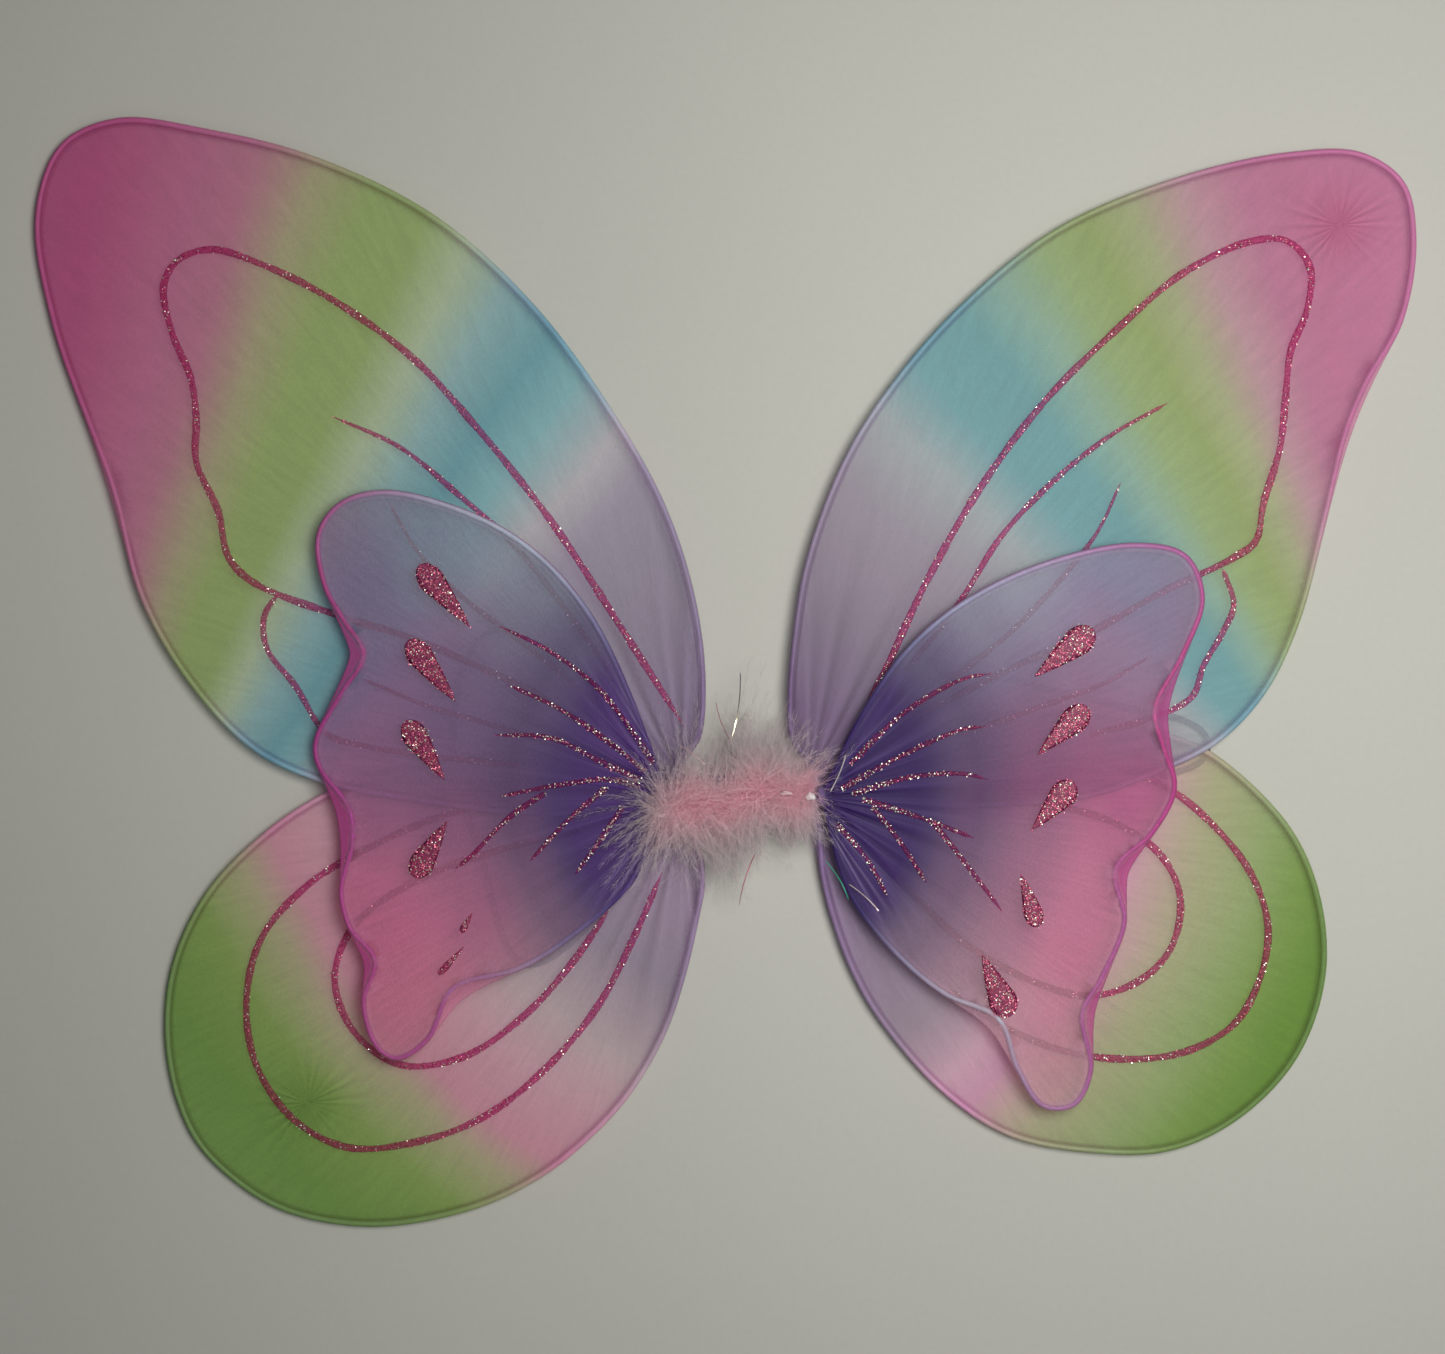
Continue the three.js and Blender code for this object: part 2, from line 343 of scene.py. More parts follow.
def elastic_material():
    n = Nodes("elastic_braid")
    fuzz = n.noise(n.coords(), 2600.0)
    shade = n.plus(n.times(n.attribute("braid"), 0.7), n.times(fuzz, 0.35))
    colour = n.ramp(shade, colours([(0.1, 40, 26, 58), (0.5, 68, 46, 92), (1.0, 102, 78, 126)]))
    normal = n.bump(n.noise(n.coords(), 1800.0), 0.0002, 0.5)
    return n.finish(n.principled(colour, n.span(fuzz, 0, 1, 0.65, 0.85), normal, Sheen_Weight=0.3))


def make_arm_loop(side_name, material):
    route = np.array([(x, y, CORD_Z) for x, y in ROUTES[side_name]])
    line = spline(route, 0.55)
    sides = 16
    points, faces = tube(line, CORD_R * 0.97, sides, STRAND_TURN, 0.07, STRANDS)
    a = angles(sides)
    i = np.arange(len(line))[:, None]
    braid = 0.5 + 0.25 * np.cos(STRANDS * a + STRAND_TURN * i) + 0.25 * np.cos(STRANDS * a - 0.75 * i)
    braid = np.concatenate([braid.ravel(), [0.3, 0.3]])
    loop = mesh_piece(f"{side_name}_elastic_arm_loop", points, faces, "hub", material,
                      floats={"braid": braid})
    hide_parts(f"{side_name}_arm_loop")


elastic = elastic_material()
for side_name, side in SIDES:
    make_arm_loop(side_name, elastic)


# ---------------------------------------------------------------- wing outlines
WIRE_R = 1.1
CLOTH_R = WIRE_R + 0.05       # from the wire's centre to the nylon round it
OUTLINES = {
    "left_upper": [
        (-20.9, 6.2), (-25, 6.2), (-25, 11.5), (-17.5, 20), (-15.3, 40), (-19, 71), (-30, 105), (-51, 142),
        (-79, 179), (-114, 210), (-157, 231), (-196, 241), (-228, 245), (-248, 236), (-257, 211),
        (-251, 172), (-229, 111), (-218, 71), (-199, 39), (-176, 16), (-148, 4), (-115, -2), (-83, -6),
        (-45, -5), (-25, 3.8), (-20.9, 3.8)],
    "right_upper": [
        (20.9, 6.2), (25, 6.2), (24.5, 11.5), (17.4, 20), (16.4, 35), (18, 56), (23, 85), (37, 122),
        (55, 150), (80, 178), (114, 205), (158, 223.5), (198, 232.5), (224, 232.5), (239, 222), (243, 201),
        (238, 172), (225, 149), (218, 132), (210, 100), (200, 63), (188, 38), (171, 20), (152, 10),
        (124, 0), (92, -3), (50, -3), (25, 3.8), (20.9, 3.8)],
    "left_lower": [
        (-20.3, -6.2), (-25, -6.2), (-25, -11.5), (-17.6, -18), (-15.4, -30), (-18, -46), (-23, -67),
        (-30, -87), (-43, -109), (-59, -126), (-76, -139), (-100, -150), (-135, -156), (-166, -151),
        (-185, -140), (-200, -124), (-209, -97), (-208, -65), (-195, -36), (-171, -12), (-148, 2),
        (-128, 9), (-103, 13), (-80, 15), (-52, 11), (-25, -3.8), (-20.3, -3.8)],
    "right_lower": [
        (20.3, -6.2), (25, -6.2), (26.8, -12), (28.3, -29), (33, -47), (40, -65), (50, -82), (72, -107),
        (96, -123), (125, -129), (154, -128.5), (179, -117), (200, -95), (210, -66), (208, -37), (197, -12),
        (170, 14), (152, 22), (126, 28.5), (105, 30), (78, 27), (50, 13), (25, -3.8), (20.3, -3.8)],
    "left_small": [
        (-22.1, 1.2), (-29.8, 1.2), (-33, 12), (-42, 37), (-56, 65), (-74, 86), (-96, 100), (-129, 109),
        (-145, 105), (-153, 94), (-151, 76), (-144, 63), (-137, 51), (-145, 37), (-154, 20), (-153, 11),
        (-142, -5), (-141, -16), (-145, -34), (-142, -47), (-133, -59), (-137, -74), (-132, -90),
        (-125, -94), (-114, -87), (-105, -69), (-82, -62), (-65, -52), (-40, -29), (-29.8, -1.2),
        (-22.1, -1.2)],
    "right_small": [
        (22.1, 1.2), (29.8, 1.2), (33.5, 12), (42, 29), (58, 52), (78, 69), (107, 83), (140, 90), (158, 86),
        (164, 71), (157, 51), (147, 31), (150, 18), (154, 3), (146, -13), (133, -26), (136, -45),
        (128, -65), (121, -78), (124, -98), (118, -110.5), (107, -111), (98, -98), (91, -80), (72, -71),
        (56, -58), (39, -37), (32, -18), (29.8, -1.2), (22.1, -1.2)],
}
LEVELS = {          # height at the hub, fall for a millimetre outwards, direction outwards, root height in y
    "upper": (8.2, 0.0166, 1.0, 5.0),
    "lower": (5.2, 0.012, -0.88, -5.0),
    "small": (11.8, 0.0, 0.0, 0.0),
}
GATHERS = {"right_upper": (216.0, 207.0), "left_lower": (-159.0, -112.0)}
# how far the gathers reach from the root, in height and in shade
GATHER_REACH = {"upper": (46.0, 56.0), "lower": (46.0, 56.0), "small": (34.0, 40.0)}
SEEDS = {"upper": 0.4, "lower": 1.9, "small": 3.1}
ROOT_X = 23.0                 # the gathers run out from here
BAY_DEPTH = 4.6               # how far the nylon may stand off the wire at an inward bend
EDGE_STEP = 1.3
POUCHES = {}



def plane_z(level, side, x, y):
    z, drop, along, _ = LEVELS[level]
    return z - drop * (x * side + y * along) / math.hypot(1.0, along)


def inside(points, loop):
    """Which points lie inside a closed loop."""
    x, y = points[:, 0][:, None], points[:, 1][:, None]
    x0, y0 = loop[:, 0][None], loop[:, 1][None]
    x1, y1 = np.roll(loop[:, 0], -1)[None], np.roll(loop[:, 1], -1)[None]
    crosses = ((y0 > y) != (y1 > y)) & (x < (x1 - x0) * (y - y0) / np.where(y1 == y0, 1e-9, y1 - y0) + x0)
    return crosses.sum(axis=1) % 2 == 1


def nearest(points, line, closed):
    """Distance from each point to a line."""
    a = line if closed else line[:-1]
    b = np.roll(line, -1, axis=0) if closed else line[1:]
    best = np.full(len(points), 1e9)
    for start in range(0, len(points), 1500):
        p = points[start:start + 1500, None, :]
        ab = (b - a)[None]
        t = ((p - a[None]) * ab).sum(-1) / np.maximum((ab * ab).sum(-1), 1e-12)
        d = p - (a[None] + np.clip(t, 0, 1)[..., None] * ab)
        best[start:start + 1500] = np.sqrt((d * d).sum(-1).min(axis=1))
    return best


def signed_area(loop):
    x, y = loop[:, 0], loop[:, 1]
    return 0.5 * np.sum(x * np.roll(y, -1) - np.roll(x, -1) * y)


def offset_loop(loop, distance):
    """The loop moved outwards, and the way out at each of its points."""
    t = tangents(loop, closed=True)
    out = np.stack([t[:, 1], -t[:, 0]], axis=1) * (1 if signed_area(loop) > 0 else -1)
    return loop + out * distance, out


def nylon_edge(wire):
    """The fold line of the nylon: round the wire, and drawn straight across its inward bends."""
    loop = resample(np.vstack([wire, wire[:1]]), EDGE_STEP)[:-1]
    edge, out = offset_loop(loop, CLOTH_R)
    start = edge.copy()
    for _ in range(260):
        pull = 0.5 * (np.roll(edge, 1, axis=0) + np.roll(edge, -1, axis=0)) - edge
        move = np.maximum((pull * out).sum(axis=1), 0.0)
        moved = ((edge - start) * out).sum(axis=1)
        move = np.minimum(move, np.maximum(BAY_DEPTH - moved, 0.0)) * 0.9
        edge = edge + out * move[:, None]
    return edge


def thin_out(points, kept, gap):
    """Drops the points closer than gap to those kept."""
    far = np.ones(len(points), dtype=bool)
    for start in range(0, len(points), 1500):
        d = points[start:start + 1500, None, :] - kept[None]
        far[start:start + 1500] = (d * d).sum(-1).min(axis=1) > gap * gap
    return points[far]


def fan(centre, radii, count):
    """Rings of points round a centre, every other ring turned by half a step."""
    out = []
    for k, r in enumerate(radii):
        a = angles(count) + (k % 2) * math.pi / count
        out.append(np.stack([centre[0] + r * np.cos(a), centre[1] + r * np.sin(a)], axis=1))
    return np.vstack(out)


def grid(low, high):
    """A field of points in offset rows between two corners."""
    x, y = np.meshgrid(np.arange(low[0], high[0], 3.2), np.arange(low[1], high[1], 2.77))
    x = x + 1.6 * (np.arange(x.shape[0]) % 2)[:, None]
    return np.stack([x.ravel(), y.ravel()], axis=1)


def root_of(level, side):
    return np.array([side * ROOT_X, LEVELS[level][3]])


def pleats(name, level, side, points):
    """Height and shade of the gathers that run out of the root and out of the tied-off corners."""
    d = points - root_of(level, side)
    r = np.hypot(d[:, 0], d[:, 1])
    a = np.arctan2(d[:, 1], d[:, 0] * side)
    seed = SEEDS[level] + (0.7 if side > 0 else 0.0)
    high_reach, shade_reach = GATHER_REACH[level]
    waves = (np.sin(31 * a + seed) + 0.8 * np.sin(47 * a + 2.3 * seed + 0.01 * r)
             + 0.6 * np.sin(73 * a + 5 * seed) + 0.7 * np.sin(19 * a + 3 * seed))
    waves = waves / 3.1
    height = 0.62 * waves * (np.clip(r / 9.0, 0, 1) * np.exp(-(r / high_reach) ** 1.5))
    shade = waves * np.exp(-(r / shade_reach) ** 2)
    if level == "small":
        # long folds beside both edges, where the nylon is drawn in hardest; they are raised, and painted
        # lighter as a painted highlight
        inward = r * np.sin(np.clip(1.10 - np.abs(a), 0, 1.5)) / (0.35 + 0.65 * np.clip(r / 40.0, 0, 1))
        for at, width, size in ((2.2, 0.9, 1.0), (5.4, 0.9, 0.7), (9.4, 1.1, 0.8), (14.5, 1.1, 0.45)):
            fold = size * np.exp(-((inward - at) / width) ** 2)
            fold = fold * np.exp(-(r / (60.0 * (0.6 + 0.4 * size))) ** 4) * np.clip(r / 12.0, 0, 1)
            height = height + 0.5 * fold
            shade = shade + 0.9 * fold
    if name in GATHERS:
        g = points - np.array(GATHERS[name])
        gr = np.hypot(g[:, 0], g[:, 1])
        ga = np.arctan2(g[:, 1], g[:, 0])
        star = (np.sin(23 * ga + 0.6 + 0.8 * np.sin(3 * ga)) * 0.6
                + np.sin(37 * ga + 1.1 * np.sin(2 * ga)) * 0.4)
        star = star * (0.65 + 0.5 * np.sin(2 * ga + 0.9) + 0.3 * np.sin(5 * ga))
        height = height + 0.3 * star * np.exp(-(gr / 13.0) ** 1.6) * np.clip(gr / 3.0, 0, 1)
        shade = shade + 0.6 * star * np.exp(-(gr / 16.0) ** 2)
    return height, shade, r, a


class Layers:
    """Where a pouch's two layers lie at any points in it."""

    def __init__(self, name, level, side, points):
        wire, edge = POUCHES[name]
        self.edge = nearest(points, edge, True)
        self.wire = nearest(points, wire, False)
        self.outside = ~inside(points, wire)
        # half the thickness: round over the wire, then the two layers close together
        wrap = CLOTH_R * np.sqrt(np.clip(1 - (1 - np.clip(self.edge / WIRE_R, 0, 1)) ** 2, 0, 1))
        reach = np.where(self.outside, 2.0, 8.0)
        rest = 0.30 + 0.85 * np.exp(-np.maximum(self.wire - 0.5, 0) / reach)
        self.half = np.minimum(wrap, rest)
        ripple, self.shade, self.r, self.a = pleats(name, level, side, points)
        free = np.clip((self.edge - 1.2) / 3.0, 0, 1)
        self.middle = plane_z(level, side, points[:, 0], points[:, 1]) + ripple * free


# the dye rings of an upper wing are turns round a point far off; the colours run between two turns
DYE_CENTRES = {"left": (295.0, -174.0), "right": (279.0, -92.0)}
DYE_TURNS = {"left": (32.0, 84.0), "right": (24.0, 84.0)}
LOWER_DYE_RUN = 300.0
SMALL_DYE_RUN = 170.0


def dye(level, side, points):
    """Where each point lies in the wing's dip-dyed bands, from 0 to 1."""
    x, y = points[:, 0] * side, points[:, 1]
    side_name = "left" if side < 0 else "right"
    if level == "upper":
        centre_x, centre_y = DYE_CENTRES[side_name]
        turn = np.degrees(np.arctan2(y - centre_y, centre_x - x))
        low, high = DYE_TURNS[side_name]
        return (turn - low) / (high - low)
    if level == "lower":
        if side < 0:
            return (0.847 * np.hypot(x + 60.0, y - 80.0) - 21.7) / LOWER_DYE_RUN
        return (0.814 * np.hypot(x + 60.0, y - 40.0) + 8.5) / LOWER_DYE_RUN
    return np.hypot(x - 8.0, y) / SMALL_DYE_RUN


def pouch_points(name, level, side, edge):
    """Points inside a pouch: rings beside its edge, fans round its gathers, and a grid for the rest."""
    rings = []
    for distance in (0.3, 0.75, 1.2, 1.75, 2.2, 2.6, 3.6):
        ring, _ = offset_loop(edge, -distance)
        near = nearest(ring, edge, True)
        rings.append(ring[(near > distance * 0.93) & inside(ring, edge)])
    kept = np.vstack(rings)
    fields = [(fan(root_of(level, side), np.arange(4.0, 74.0, 2.6), 240 if level == "small" else 150), 0.75),
              (grid(edge.min(axis=0), edge.max(axis=0)), 1.9)]
    if name in GATHERS:
        fields.insert(0, (fan(GATHERS[name], np.arange(1.0, 24.0, 1.5), 96), 0.75))
    for more, gap in fields:
        more = more[inside(more, edge)]
        more = more[nearest(more, edge, True) > 4.4]
        kept = np.vstack([kept, thin_out(more, kept, gap)])
    return kept


def triangulated(edge, within):
    """Points and triangles that fill an edge loop, and which of the points lie on the edge."""
    count = len(edge)
    loop_edges = [(i, (i + 1) % count) for i in range(count)]
    flat = [Vector(p) for p in np.vstack([edge, within])]
    verts, _, faces, origin, _, _ = delaunay_2d_cdt(flat, loop_edges, [], 1, 1e-5)
    flat = np.array([(v[0], v[1]) for v in verts])
    tris = np.array([f for f in faces if len(f) == 3])
    rim = np.array([any(s < count for s in sources) for sources in origin])
    facing_up = np.cross(flat[tris[:, 1]] - flat[tris[:, 0]], flat[tris[:, 2]] - flat[tris[:, 0]]) > 0
    tris[~facing_up] = tris[~facing_up][:, ::-1]
    return flat, tris, rim


def pouch_values(name, level, side, flat, layers):
    """The values that the nylon's material reads, for one layer of a pouch."""
    # the bays beside the lower lobe face the centre and stay pale; the outer ones are deeply dyed
    outer = np.where(flat[:, 1] < -45.0, np.clip((np.abs(flat[:, 0]) - 118.0) / 6.0, 0.2, 1.0), 1.0)
    outer *= np.abs(flat[:, 0]) > 60.0
    values = {
        "ombre": dye(level, side, flat),
        "rim": np.exp(-layers.wire ** 4),
        "pleat": layers.shade,
        "turn": layers.a / math.pi * 0.5 + 0.5,
        "root": layers.r / 100.0,
        # a line just inside the wire where the nylon creases against it: painted crease shade, and denser
        # nylon there too
        "crease_shade": np.where(layers.outside, 0.0, np.exp(-((layers.wire - 1.45) / 0.45) ** 2)),
        "bay": np.where(layers.outside, np.clip((layers.wire - 0.5) / 0.9, 0, 1), 0.0) * outer,
    }
    if name in GATHERS:
        values["gather"] = np.exp(-(np.hypot(*(flat - np.array(GATHERS[name])).T) / 12.0) ** 2)
    return values


def make_pouch(name, side, level, material, body):
    """Nylon drawn over both sides of a wire loop: two layers that share the points of their edge."""
    wire = spline(OUTLINES[name], 0.8)
    edge = nylon_edge(wire)
    POUCHES[name] = (wire, edge)
    flat, tris, rim = triangulated(edge, pouch_points(name, level, side, edge))
    layers = Layers(name, level, side, flat)
    rim |= layers.edge < 1e-4
    half = np.where(rim, 0.0, layers.half)
    index = np.arange(len(flat))
    under = np.where(rim, index, index + len(flat))
    points = np.vstack([np.column_stack([flat, layers.middle + half]),
                        np.column_stack([flat, layers.middle - half])])
    all_tris = np.vstack([tris, under[tris][:, ::-1]])
    used = np.unique(all_tris)
    remap = np.full(2 * len(flat), -1)
    remap[used] = np.arange(len(used))
    values = pouch_values(name, level, side, flat, layers)
    values = {key: np.tile(value, 2)[used] for key, value in values.items()}
    flow = np.column_stack([layers.a * 40.0, layers.r * 0.05, np.zeros(len(flat))])
    pouch = mesh_piece(f"{name}_nylon_pouch", points[used], [remap[all_tris]], body, material,
                       floats=values, flow=np.tile(flow, (2, 1))[used])
    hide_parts(f"{name}_nylon_skin")


# ---------------------------------------------------------------- dyed nylon
def bands(low, high, rows):
    """Ramp stops from (place, r, g, b) rows, with places between low and high made 0 to 1."""
    return [((place - low) / (high - low), colour) for place, colour in colours(sorted(rows))]


DYES = {
    "left_upper": bands(*DYE_TURNS["left"], [
        (81.5, 237, 130, 190), (77.5, 240, 158, 201), (74, 238, 174, 202), (71, 226, 219, 188),
        (68, 207, 226, 160), (65, 205, 225, 160), (62.4, 228, 241, 216), (59.8, 198, 230, 234),
        (56.9, 160, 216, 227), (54.3, 188, 232, 239), (51, 236, 232, 239), (48.4, 212, 203, 223),
        (42, 197, 185, 208), (35, 180, 157, 196)]),
    "right_upper": bands(*DYE_TURNS["right"], [
        (80.7, 240, 168, 208), (75, 236, 165, 203), (72.6, 234, 170, 203), (69.2, 234, 198, 210),
        (66, 215, 220, 183), (62.8, 199, 216, 154), (59.7, 201, 221, 171), (56.5, 193, 224, 211),
        (53.3, 162, 213, 219), (49.3, 166, 216, 224), (45.2, 217, 224, 230), (40.4, 209, 200, 216),
        (36.3, 202, 190, 209), (32, 188, 172, 197), (26, 167, 140, 182)]),
    "left_lower": bands(0, LOWER_DYE_RUN, [
        (100, 210, 190, 217), (124, 205, 189, 210), (152, 241, 224, 230), (168, 252, 216, 230),
        (190, 252, 200, 219), (201, 230, 222, 193), (214, 205, 221, 155), (219, 189, 216, 131),
        (239, 168, 208, 115), (259, 172, 211, 122)]),
    "right_lower": bands(0, LOWER_DYE_RUN, [
        (85, 176, 144, 195), (101, 194, 168, 208), (150, 213, 196, 214), (167, 252, 218, 236),
        (178, 252, 206, 233), (186, 244, 216, 218), (199, 223, 223, 188), (217, 200, 219, 159),
        (230, 174, 207, 113), (241, 153, 197, 85)]),
}
SMALL_LOBES = {      # colour round the root, from the lower lobe to the upper one
    "left": [(0.36, 252, 197, 217), (0.42, 252, 176, 213), (0.46, 247, 174, 211), (0.50, 220, 160, 204),
             (0.55, 202, 169, 209), (0.60, 203, 181, 213), (0.65, 209, 216, 229)],
    "right": [(0.36, 251, 218, 228), (0.42, 250, 191, 217), (0.47, 245, 184, 213), (0.51, 230, 150, 198),
              (0.55, 218, 174, 209), (0.59, 212, 196, 224), (0.65, 221, 228, 238)],
}
# violet at the small wings' roots; the left one is painted lighter than the right, making up for the weaker
# light on the left: painted light
VIOLET = {
    "left": [(0.18, 92, 50, 138), (0.32, 114, 80, 157)],
    "right": [(0.18, 64, 32, 115), (0.32, 87, 56, 137)],
}
VIOLET_SOFT = [(0.40, 182, 162, 192), (0.50, 148, 126, 176)]
LAVENDER = srgb(186, 168, 214)
BAY_MAGENTA = srgb(206, 66, 160)
RIM_HIGHLIGHT_MAUVE = srgb(176, 152, 188)
# tint of the painted crease shade just inside the wire
CREASE_SHADE_TINT = (0.62, 0.42, 0.62, 1)


def wandering(n, value, noise, size):
    """A value shifted to and fro by a noise."""
    return n.plus(value, n.times(n.math("SUBTRACT", noise, 0.5), size))


def dye_colour(n, name, level, side_name):
    """The dip-dyed colour: soft-edged bands that wander a little, as a dip bath leaves them."""
    wander = n.noise(n.coords(), 22.0, 4.0, 0.55)
    place = wandering(n, n.attribute("ombre"), wander, 0.035)
    if level != "small":
        return n.ramp(place, DYES[name])
    turn = wandering(n, n.attribute("turn"), wander, 0.08)
    lobes = n.ramp(turn, colours(SMALL_LOBES[side_name]))
    fade = n.ramp(place, [(0.34, CLEAR), (0.44, (0.74, 0.74, 0.74, 1)), (0.58, (0.22, 0.22, 0.22, 1)),
                          (0.70, (0, 0, 0, 1))], "EASE")
    root = n.ramp(place, colours(VIOLET[side_name]))
    deep = n.mix(n.span(place, 0.32, 0.48), root, n.ramp(turn, colours(VIOLET_SOFT)))
    return n.mix(fade, lobes, deep)


def crease_share(n, flow):
    """Bright creases where the gathers catch the light, strongest beside the edges of the root."""
    crease = n.span(n.noise(n.scaled(flow, (1.0, 0.2, 1.0)), 0.42, 2.0, 0.55), 0.50, 0.66)
    beside = n.span(n.math("ABSOLUTE", n.math("SUBTRACT", n.attribute("turn"), 0.5)), 0.09, 0.16, 0.22, 1.0)
    near = n.span(n.attribute("root"), 0.28, 0.62, 0.62, 0.0)
    return n.times(n.times(crease, beside), near)


def nylon_material(name, level, side_name):
    n = Nodes(f"nylon_{name}")
    small = level == "small"
    colour = dye_colour(n, name, level, side_name)
    flow = n.attribute("flow", "Vector")
    streak = n.noise(n.scaled(flow, (0.7, 0.3, 1.0)), 3.2, 4.0, 0.6)
    knit = n.noise(n.scaled(n.coords(), (1.0, 0.35, 1.0)), 2300.0, 2.0, 0.6)
    pleat = n.attribute("pleat")
    # pleat brings the gathers' painted shade and painted highlight into the tone
    tone = n.plus(n.span(streak, 0.25, 0.75, 0.93, 1.07),
                  n.plus(n.times(pleat, 0.26), n.span(knit, 0.2, 0.8, -0.07, 0.07)))
    tone_colour = n.add("CombineColor")
    for socket in tone_colour.inputs[:3]:
        n.put(socket, tone)
    toned = n.mix(1.0, colour, tone_colour.outputs[0], "MULTIPLY")
    deeper = n.mix(1.0, toned, colour, "MULTIPLY")
    # painted crease shade just inside the wire, where the nylon also lies denser
    crease_shade = n.times(n.attribute("crease_shade"), 0.5 if small else 0.85)
    toned = n.mix(crease_shade, toned, n.mix(1.0, deeper, CREASE_SHADE_TINT, "MULTIPLY"))
    if name in GATHERS:
        toned = n.mix(n.times(n.attribute("gather"), 0.45), toned, deeper)
    if small:
        toned = n.mix(crease_share(n, flow), toned, LAVENDER)
        toned = n.mix(n.times(n.attribute("bay"), 0.8), toned, BAY_MAGENTA)
    normal = n.bump(n.plus(n.times(knit, 0.6), n.times(streak, 0.4)), 0.00025, 0.45)
    cloth = n.principled(toned, n.span(knit, 0.2, 0.8, 0.42, 0.62), normal, Sheen_Weight=0.35,
                         Sheen_Roughness=0.4, Specular_IOR_Level=0.35)
    cover = n.plus(n.plus(0.185 if small else 0.245, n.times(n.attribute("rim"), -0.12)),
                   n.plus(n.times(pleat, 0.12), n.span(knit, 0.2, 0.8, -0.04, 0.04)), clamp=True)
    cover = n.plus(cover, n.times(n.attribute("crease_shade"), 0.25), clamp=True)
    if small:
        cover = n.plus(cover, n.times(n.attribute("bay"), 0.2), clamp=True)
        cover = n.plus(cover, n.span(n.attribute("ombre"), 0.45, 0.2, 0.03, 0.3), clamp=True)
    return n.finish(n.film(cover, n.mix(0.48 if small else 0.42, CLEAR, toned), cloth))


RIM_SMALL = {        # along the small wings' wires, from the upper leg round to the lower one
    "left": [(0.0, 90, 50, 130), (0.07, 96, 70, 150), (0.13, 186, 184, 214), (0.20, 226, 230, 240),
             (0.27, 222, 214, 230), (0.33, 222, 130, 186), (0.38, 222, 70, 164), (0.44, 212, 56, 160),
             (0.50, 206, 60, 170), (0.58, 198, 84, 180), (0.68, 190, 84, 172), (0.78, 186, 96, 180),
             (0.84, 190, 186, 210), (0.89, 150, 146, 196), (0.93, 100, 80, 160), (1.0, 90, 50, 130)],
    "right": [(0.0, 90, 50, 130), (0.07, 110, 90, 165), (0.14, 190, 196, 218), (0.24, 210, 180, 212),
              (0.32, 218, 110, 182), (0.38, 222, 60, 164), (0.44, 218, 60, 166), (0.50, 206, 76, 176),
              (0.58, 190, 110, 186), (0.68, 184, 100, 182), (0.74, 180, 150, 196), (0.80, 196, 208, 220),
              (0.87, 186, 190, 212), (0.92, 110, 96, 160), (1.0, 90, 50, 130)],
}


def rim_material(name, level, side_name):
    """The wire's dyed winding: it takes the colour of the nylon beside it, deeper."""
    n = Nodes(f"rim_{name}")
    small = level == "small"
    if small:
        colour = n.ramp(n.attribute("along"), colours(RIM_SMALL[side_name]))
    else:
        colour = n.ramp(n.attribute("ombre"), DYES[name])
    deep = n.mix(1.0, colour, colour, "MULTIPLY")
    wrap = n.noise(n.coords(), 900.0, 3.0, 0.6)
    least, most = (0.1, 0.4) if small else (0.3, 0.6)
    colour = n.mix(n.span(wrap, 0.3, 0.7, least, most), colour, deep)
    # the upper and lower wings' wires are paled towards mauve-grey: a painted highlight along the wire
    if not small:
        colour = n.mix(0.45, colour, RIM_HIGHLIGHT_MAUVE)
    normal = n.bump(wrap, 0.0003, 0.5)
    return n.finish(n.principled(colour, n.span(wrap, 0.2, 0.8, 0.32, 0.5), normal, Sheen_Weight=0.2))


def make_wire(name, side, level, material, body):
    """The wire loop in its hand-wound covering, whose thickness wavers a little."""
    wire, _ = POUCHES[name]
    line = resample(wire, 1.1)
    line = np.column_stack([line, plane_z(level, side, line[:, 0], line[:, 1])])
    count, sides = len(line), 12
    waver = 0.93 + 0.035 * np.sin(np.arange(count) * 0.9) + 0.02 * np.sin(np.arange(count) * 0.37 + 1.0)
    points, faces = tube(line, waver, sides, 0.5, 0.035, 3)
    along = np.concatenate([np.repeat(np.linspace(0, 1, count), sides), [0.0, 1.0]])
    piece = mesh_piece(f"{name}_covered_wire", points, faces, body, material,
                       floats={"along": along, "ombre": dye(level, side, points[:, :2])})
    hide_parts(f"{name}_wire_frame")


for side_name, side in SIDES:
    for level in ORDER:
        name = f"{side_name}_{level}"
        body = f"{name}_wing"
        make_pouch(name, side, level, nylon_material(name, level, side_name), body)
        make_wire(name, side, level, rim_material(name, level, side_name), body)


